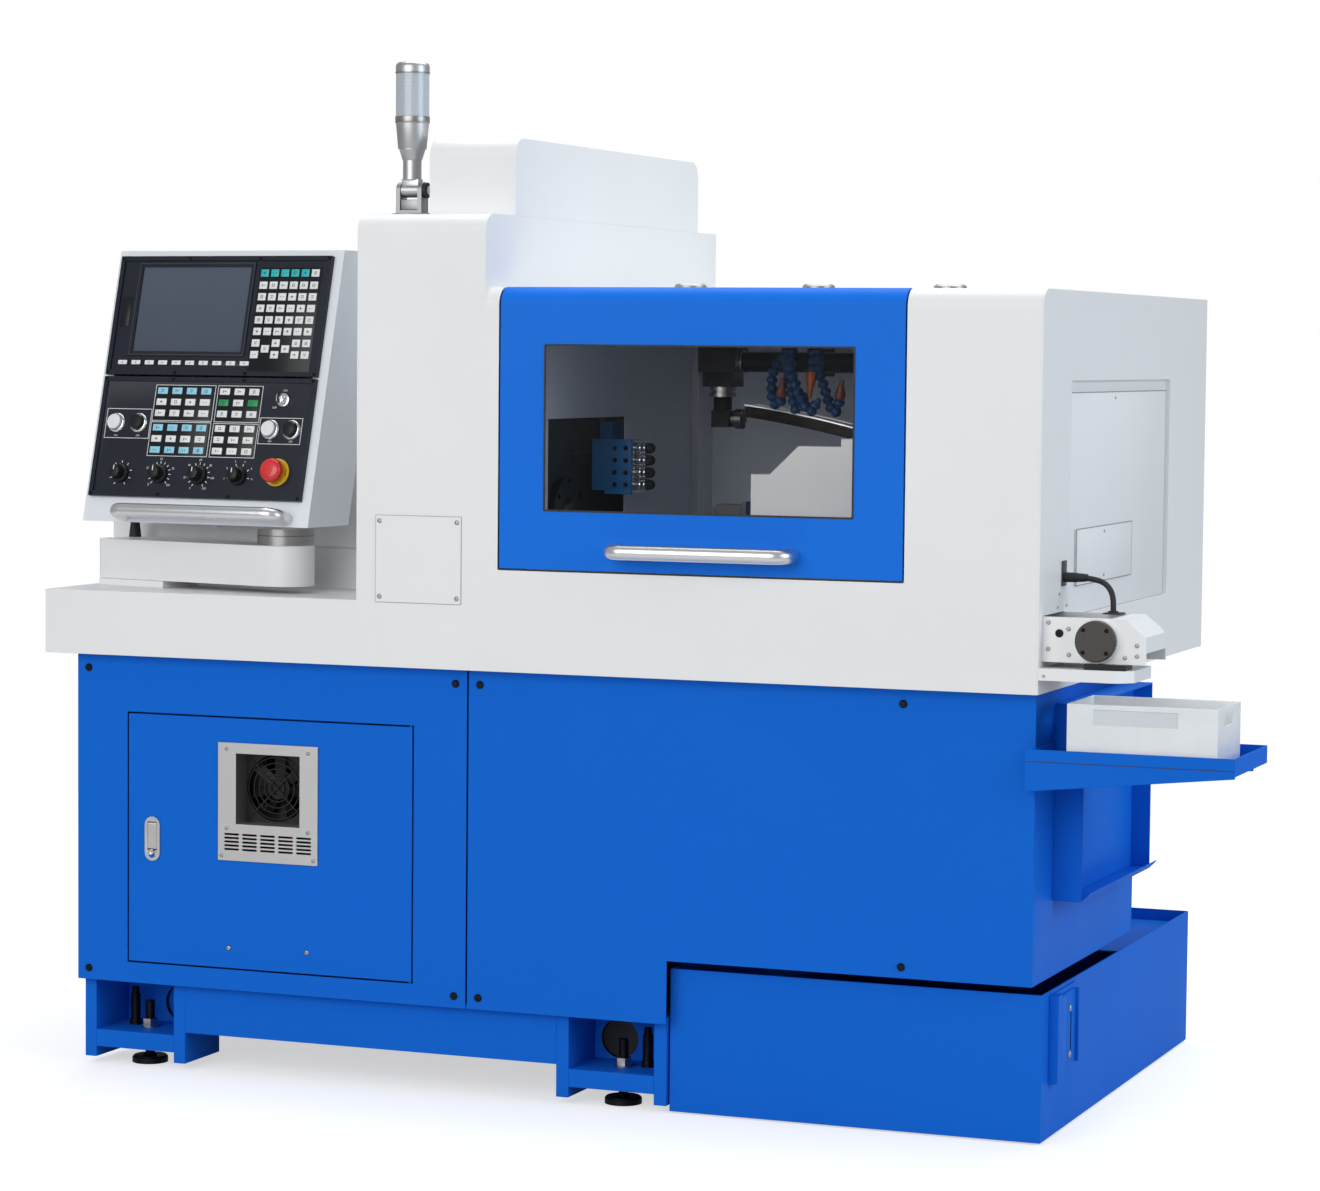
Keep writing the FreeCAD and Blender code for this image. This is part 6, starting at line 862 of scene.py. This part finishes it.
def panel_print():
    """White lines round the groups, ticks and numbers round the knobs, and the lock's two places."""
    bm = bmesh.new()
    for corners in ((117, 237.5, 178, 240.6), (117, 237.5, 116, 175.5), (243, 332, 177.5, 240.6),
                    (243, 332, 116, 174.5), (24, 114.5, 146, 197.5), (335.5, 418.5, 141, 186)):
        line_frame(bm, *corners)
    for x, (words, ticks, reach) in zip(KNOB_X, DIALS):
        for i in range(ticks):
            angle = math.radians(reach - 2 * reach * i / (ticks - 1))
            panel_block(bm, x - TICK_RADIUS * math.sin(angle), KNOB_Y + TICK_RADIUS * math.cos(angle),
                        UNIT_FACE, UNIT_FACE + PRINT_RISE, 1.3, 4.2, spin=angle)
        numbers = words.split()
        for i, number in enumerate(numbers):
            angle = math.radians(reach - 2 * reach * i / (len(numbers) - 1))
            panel_words(bm, number, x - NUMBER_RADII[0] * math.sin(angle),
                        KNOB_Y + NUMBER_RADII[1] * math.cos(angle), 5.4)
    panel_words(bm, "ON", LOCK_PLACE[0], LOCK_PLACE[1] + 17, 5.0)
    panel_words(bm, "OFF", LOCK_PLACE[0] - 17, LOCK_PLACE[1] - 13, 5.0)
    for word, (x, _), y in zip(("ON", "OFF", "ON", "OFF"), BUTTONS, (150.5, 150.5, 145.5, 145.5)):
        panel_words(bm, word, x, y, 4.6)
    add_piece("panel_print", bm, print_white, 30, "pendant")


def units():
    """The two black units with their screen, slot cover and screws."""
    refine("control_units", panel_black, 0.0005)
    dress("display_screen", screen_painted_light)
    edge = bmesh.new()
    line_frame(edge, 50.5, 283, 294, 456.5, 1.0, 7.9, 8.15)
    line_frame(edge, 57.3, 276.2, 300.8, 449.7, 0.9, 5.4, 5.9)
    add_piece("screen_edges", edge, dark_steel, 30, "pendant")
    slot = bmesh.new()
    panel_block(slot, 32, 370, UNIT_FACE - 0.2, 7.4, 19, 52, 0.8)
    panel_block(slot, 32, 346.5, 7.2, 8.0, 12, 2.4, 0.3)
    add_piece("slot_cover", slot, film_black, 30, "pendant")
    places = [P(x, y, 9.0) for x0, x1, y0, y1 in UNITS
              for x in (x0 + 4.5, x0 + 142, x0 + 284, x1 - 4.5) for y in (y0 + 4, y1 - 4)]
    screw_heads("unit_screws", screw_black, "black_panel", PANEL_OUT, 3.0, places, "pendant")


FLUTES = 15
FLUTE_DEPTH = 0.8
GRIP_FROM = 6.0            # the grip's flutes start above this height over the skirt's foot
GRIP_OUTSIDE = 5.0


def fluted_knob(number, x):
    """Knob with a round skirt, a fluted grip and a white pointer."""
    bm = bmesh.new()
    base = P(x, KNOB_Y, 6.4)
    turned(bm, [(0, 0), (15.4, 0), (15.9, 0.5), (15.9, 3.8), (15.2, 4.8), (12.6, 6.6), (12.1, 7.6),
                (11.9, 9.5), (11.2, 20.6), (10.2, 22.4), (8.4, 23), (0, 23)], base, PANEL_OUT, 60)
    for vert in bm.verts:
        offset = vert.co - base
        height = offset.dot(PANEL_OUT)
        flat = offset - PANEL_OUT * height
        if height > GRIP_FROM * MM and flat.length > GRIP_OUTSIDE * MM:
            angle = math.atan2(flat.dot(PANEL_UP), flat.dot(PANEL_RIGHT))
            groove = max(0.0, math.cos(FLUTES * angle))
            vert.co -= flat.normalized() * FLUTE_DEPTH * MM * groove
    body = "knob_%d" % number
    add_piece(body + "_grip", bm, black_plastic, 35, body, (body,))
    line = bmesh.new()
    panel_block(line, x, KNOB_Y + 5.6, 29.2, 29.7, 1.8, 7.6, 0.2)
    panel_block(line, x, KNOB_Y + 14.0, 10.8, 11.3, 1.8, 3.0, 0.2)
    add_piece(body + "_pointer", line, print_white, 35, body)


def panel_turned(bm, profile, place, steps=40):
    """Adds a turned shape that stands on the units' face."""
    turned(bm, profile, P(*place, UNIT_FACE), PANEL_OUT, steps)


def push_buttons():
    rings = bmesh.new()
    for number, place in enumerate(BUTTONS, 1):
        body = "button_%d" % number
        panel_turned(rings, [(11.0, -0.2), (17.6, -0.2), (17.6, 3.0), (16.9, 4.6), (15.4, 6.0),
                             (14.2, 6.3), (13.6, 5.8), (13.6, 4.6), (11.0, 4.6), (11.0, -0.2)], place)
        cap = bmesh.new()
        panel_turned(cap, [(0, -8), (10.7, -8), (10.7, 9.3), (12.9, 9.3), (13.0, 9.8), (12.9, 12.4),
                           (12.2, 13.2), (11.0, 13.2), (10.2, 12.6), (6, 13.2), (0, 13.5)], place)
        finish, slot = (key_white, "key_white") if number % 2 else (black_plastic, "black_plastic")
        add_piece(body + "_cap", cap, finish, 35, body, (body,))
    panel_turned(rings, [(6.1, -0.2), (12.6, -0.2), (12.6, 2.6), (11.4, 4.4), (8.4, 5.0), (6.1, 4.8),
                         (6.1, -0.2)], LOCK_PLACE)
    add_piece("button_rings", rings, bright_chrome, 35, "pendant", ("control_bezels",))


def lock_and_key():
    x, y = LOCK_PLACE
    bm = bmesh.new()
    panel_turned(bm, [(0, -12), (6, -12), (6, 5.6), (5.4, 6.2), (0, 6.2)], LOCK_PLACE, 32)
    panel_block(bm, x, y, 11.8, 17.5, 2.0, 8.0, 0.3)
    turned(bm, [(2.6, -1.2), (7.6, -1.2), (8.4, -0.8), (8.4, 0.8), (7.6, 1.2), (2.6, 1.2), (2.6, -1.2)],
           P(x, y, 23.4), PANEL_RIGHT, 32)
    add_piece("lock_key", bm, bright_chrome, 35, "key", ("key_switch",))


ARROW_RADIUS = 19.4


def stop_mushroom():
    x, y = STOP_PLACE
    ring = bmesh.new()
    panel_turned(ring, [(8.3, -0.1), (24.0, -0.1), (24.0, 2.0), (23.0, 3.0), (8.9, 3.0), (8.3, 2.4),
                        (8.3, -0.1)], STOP_PLACE, 48)
    add_piece("stop_ring", ring, ring_yellow, 35, "pendant")
    arrows = bmesh.new()
    for i in range(4):
        angle = math.tau * i / 4
        for bend in (-0.22, 0.0, 0.22):
            panel_block(arrows, x - ARROW_RADIUS * math.sin(angle + bend),
                        y + ARROW_RADIUS * math.cos(angle + bend), 8.98, 9.08, 4.4, 1.2,
                        spin=angle + bend)
    add_piece("stop_ring_marks", arrows, key_ink, 35, "pendant")
    cap = bmesh.new()
    panel_turned(cap, [(0, -16), (8, -16), (8, 11), (16.4, 11), (18.4, 12), (19.6, 14), (20.5, 17.2),
                       (20.4, 20.5), (19.5, 23.6), (17.5, 26), (14.0, 27.6), (9.5, 28.3), (4, 28.5),
                       (0, 28.5)], STOP_PLACE, 48)
    add_piece("stop_mushroom", cap, stop_red, 35, "stop", ("stop_button",))


def pendant():
    refine("pendant_case", pendant_enamel, 0.0012, 3,
           patches=[(ring_aluminium, (290, 20, 915), (460, 170, 939.5))])
    refine("swing_arm", white_enamel, 0.0016, 3,
           patches=[(ring_aluminium, (352, 62, 905.5), (454, 163, 931.5)),
                    (black_rubber, (36, 206, 905), (66, 236, 940))])
    units()
    keys()
    panel_print()
    for number, x in enumerate(KNOB_X, 1):
        fluted_knob(number, x)
    push_buttons()
    lock_and_key()
    stop_mushroom()


pendant()

# ---- Signal lamp ----
LAMP_PIVOT = M(619, 150, 1506)


def signal_lamp():
    refine("lamp_bracket", bracket_steel, 0.0006)
    pole = bmesh.new()
    block(pole, M(619, 150, 1518), (0.031, 0.0184, 0.014), bevel=0.0006)
    turned(pole, [(4.3, -15.5), (12, -15.5), (12, 15.5), (4.3, 15.5), (4.3, -15.5)], LAMP_PIVOT, RIGHT,
           48)
    turned(pole, [(0, 18), (15.5, 18), (15.5, 50), (16.4, 50.4), (21.6, 67.2), (22.2, 67.8),
                  (22.2, 69.2), (23.6, 69.4), (24.0, 70.2), (27.8, 111.4), (28.5, 112.2),
                  (28.5, 123), (0, 123)], LAMP_PIVOT, UP, 64)
    turned(pole, [(0, 195), (28.5, 195), (28.5, 206), (27.8, 209.6), (25.4, 212.6), (22.0, 214),
                  (0, 214)], LAMP_PIVOT, UP, 64)
    add_piece("lamp_pole_finished", pole, lamp_steel, 30, "lamp", ("lamp_pole",))
    dress("lamp_lens", lamp_glass)
    seat = bmesh.new()
    block(seat, M(619, 150, 1482), (0.0305, 0.024, 0.017), bevel=0.0008)
    turned(seat, [(0, 0), (34, 0), (34, 1.4), (33.2, 2.0), (0, 2.0)], M(619, 150, 1465), UP, 48)
    add_piece("lamp_seat", seat, bracket_steel, 30)
    bands = bmesh.new()
    for low, high in ((112.5, 123.2), (194.8, 197.5)):
        turned(bands, [(28.0, low), (28.9, low), (29.1, low + 0.6), (29.1, high - 0.6), (28.9, high),
                       (28.0, high), (28.0, low)], LAMP_PIVOT, UP, 48)
    add_piece("lamp_bands", bands, ring_aluminium, 35, "lamp")
    stud, grip = bmesh.new(), bmesh.new()
    turned(stud, [(0, 0), (7.2, 0), (7.2, 2.0), (6.0, 3.0), (3.8, 3.0), (3.6, 1.6), (0, 1.6)],
           M(648, 150, 1506), RIGHT, 32)
    add_piece("lamp_pivot_nut", stud, bright_chrome, 35)
    turned(grip, [(8.2, 0), (12.6, 0), (13.2, 0.8), (13.2, 5.4), (12.6, 6.2), (8.2, 6.2), (8.2, 0)],
           M(642.6, 150, 1506), RIGHT, 40)
    add_piece("lamp_pivot_grip", grip, black_rubber, 35)


signal_lamp()

# ---- Coolant hoses and tooling ----
HOSE_PITCH = 0.0138        # from one ball joint to the next

# Each hose: its nozzle's finish, the nozzle's stretch, and the corners that the hose passes from the
# manifold to the nozzle, in machine millimetres.
HOSES = (
    (hose_red, 1, ((1246, 236, 1290), (1262, 236, 1256), (1256, 232, 1234), (1241, 228, 1218),
                   (1237, 226, 1194), (1241, 220, 1157), (1259, 212, 1157), (1261, 206, 1183))),
    (hose_blue, 0.5, ((1266, 222, 1290), (1265, 220, 1254), (1265, 218, 1224), (1270, 216, 1202),
                      (1275, 214, 1176), (1284, 214, 1142), (1298, 216, 1156), (1296, 218, 1182))),
    (hose_blue, 0.5, ((1290, 208, 1290), (1286, 206, 1260), (1279, 204, 1240), (1277, 202, 1216),
                      (1286, 200, 1192), (1298, 198, 1162), (1318, 196, 1140), (1331, 194, 1168))),
    (hose_orange, 1.4, ((1304, 240, 1290), (1303, 236, 1250), (1306, 232, 1215), (1304, 226, 1187))),
    (hose_red, 1, ((1326, 232, 1290), (1322, 232, 1260), (1315, 230, 1238), (1317, 228, 1214),
                   (1329, 224, 1184), (1346, 218, 1140), (1362, 210, 1160), (1363, 206, 1190))))


def even_points(route, pitch):
    """Evenly spaced points and directions along the smooth line past a route's corners."""
    made = mesh_of(nurbs("line", [M(*place) for place in route], 24))
    line = [vert.co.copy() for vert in made.vertices]
    bpy.data.meshes.remove(made)
    found, left = [], 0.0
    for a, b in zip(line, line[1:]):
        length = (b - a).length
        while left < length:
            found.append((a.lerp(b, left / length), (b - a).normalized()))
            left += pitch
        left -= length
    return found


def hoses():
    # tips holds the orange nozzle, and worn holds the two nozzles in a darker red-orange.
    joints, tips, worn = bmesh.new(), bmesh.new(), bmesh.new()
    nozzle_meshes = {hose_blue: joints, hose_orange: tips, hose_red: worn}
    block(joints, M(1276, 228, 1303), (0.136, 0.056, 0.026), bevel=0.002)
    for finish, stretch, route in HOSES:
        places = even_points(route, HOSE_PITCH)
        for place, ahead in places[:-2]:
            turned(joints, [(0, -0.5), (5.6, -0.5), (6.2, 1.6), (8.6, 4.0), (9.3, 7.0), (9.0, 9.6),
                            (7.8, 11.4), (6.0, 12.6), (5.6, 14.2), (0, 14.2)], place, ahead, 18)
        place, ahead = places[-2]
        turned(nozzle_meshes[finish],
               [(0, 0), (8.6, 0), (9.2, 3), (8.4, 9 * stretch), (5.4, 18 * stretch), (4.2, 26 * stretch),
                (3.6, 30 * stretch), (0, 30 * stretch)], place, ahead, 20)
    add_piece("hose_joints", joints, hose_blue, 40, replaces=("coolant_hoses",))
    add_piece("hose_nozzles", tips, hose_orange, 40)
    add_piece("hose_nozzles_dark", worn, hose_red, 40)


def tooling():
    bar = bmesh.new()
    block(bar, M(902, 397, 1042), (0.040, 0.006, 0.092), bevel=0.0008)
    block(bar, M(898, 397, 998), (0.050, 0.0064, 0.008), bevel=0.0008)
    add_piece("tool_clamp_bar", bar, block_enamel, 30, "tool_block")
    nuts, ends = bmesh.new(), bmesh.new()
    for i in range(SLEEVES):
        place = M(923, 420, SLEEVE_Z + SLEEVE_PITCH * i)
        turned(nuts, [(9.0, 3), (10.0, 3), (10.2, 4), (10.2, 9), (9.6, 10), (10.2, 11), (10.2, 16),
                      (9.6, 17.5), (9.0, 17.5), (9.0, 3)], place, RIGHT, 32)
        turned(ends, [(0, 17), (9.4, 17), (9.6, 20), (9.0, 26), (7.2, 30), (4.0, 32.4), (0, 33)], place,
               RIGHT, 32)
    add_piece("sleeve_nuts", nuts, bright_chrome, 35, "tool_block")
    add_piece("sleeve_caps", ends, black_rubber, 35, "tool_block")


hoses()
tooling()


# ---- Floor and light ----
FLOOR_GLOW = 0.58          # what the floor shows of itself near the machine
FLOOR_COLOUR = (0.58, 0.58, 0.575)
FLOOR_NEAR = 1.9           # where the floor starts to fade to white, and where it ends
FLOOR_FAR = 5.0
WORLD_LIGHT = 0.44
BLACK, FULL_WHITE = (0.0, 0.0, 0.0), (1.0, 1.0, 1.0)


def floor():
    """Pale floor that keeps the shadow near the machine and fades to white further out."""
    bm = bmesh.new()
    bmesh.ops.create_grid(bm, x_segments=1, y_segments=1, size=40.0)
    mesh = bpy.data.meshes.new("studio_floor")
    bm.to_mesh(mesh)
    bm.free()
    finish = Finish("studio_floor", FLOOR_COLOUR, 0.9, specular_ior_level=0.1)
    out = finish.node("VectorMath", [finish.place()], output="Value", operation="LENGTH")
    far = finish.node("MapRange", {"Value": out, "From Min": FLOOR_NEAR, "From Max": FLOOR_FAR},
                      interpolation_type="SMOOTHSTEP")
    camera = finish.node("LightPath", output="Is Camera Ray")
    seen = camera.most(finish.node("LightPath", output="Is Glossy Ray") * 0.35)
    glow = seen * (far * (1.0 - FLOOR_GLOW) + FLOOR_GLOW)
    finish.feed("Base Color", finish.mix(far, FLOOR_COLOUR, BLACK))
    finish.feed("Emission Color", finish.mix(glow, BLACK, FULL_WHITE))
    finish.feed("Emission Strength", 1.0)
    mesh.materials.append(finish.material)
    ground = linked("studio_floor", mesh)


def world():
    """Soft daylight all round, and plain white where the camera sees past the machine."""
    made = bpy.data.worlds.new("studio")
    made.use_nodes = True
    made.node_tree.nodes.clear()
    graph = Graph(made.node_tree)
    light = graph.node("Background", [(0.93, 0.96, 1.0, 1.0), WORLD_LIGHT])
    seen = graph.node("Background", [(*FULL_WHITE, 1.0), 1.0])
    camera = graph.node("LightPath", output="Is Camera Ray")
    through = graph.node("LightPath", output="Is Transmission Ray")
    mixed = graph.node("MixShader", [camera.most(through), light, seen])
    graph.set_input(graph.tree.nodes.new("ShaderNodeOutputWorld").inputs["Surface"], mixed)
    bpy.context.scene.world = made


def area_lamp(name, place, aim, size, power, colour):
    data = bpy.data.lights.new(name, "AREA")
    data.shape = "RECTANGLE"
    data.size, data.size_y = size
    data.energy = power
    data.color = colour
    lamp = linked(name, data)
    lamp.location = place
    lamp.rotation_mode = "QUATERNION"
    lamp.rotation_quaternion = (Vector(aim) - Vector(place)).to_track_quat("-Z", "Y")


floor()
world()
area_lamp("front_softbox", (-1.0, -6.0, 2.6), (0.0, 0.0, 0.9), (5.0, 3.6), 182, (1.0, 0.99, 0.97))
area_lamp("right_softbox", (5.5, -1.0, 2.4), (0.2, 0.0, 0.9), (3.6, 3.0), 128, (0.79, 0.90, 1.0))
area_lamp("top_softbox", (0.0, 1.2, 5.0), (0.0, 0.0, 1.0), (5.0, 4.0), 174, (0.93, 0.97, 1.0))
bpy.context.scene.view_settings.view_transform = "Standard"
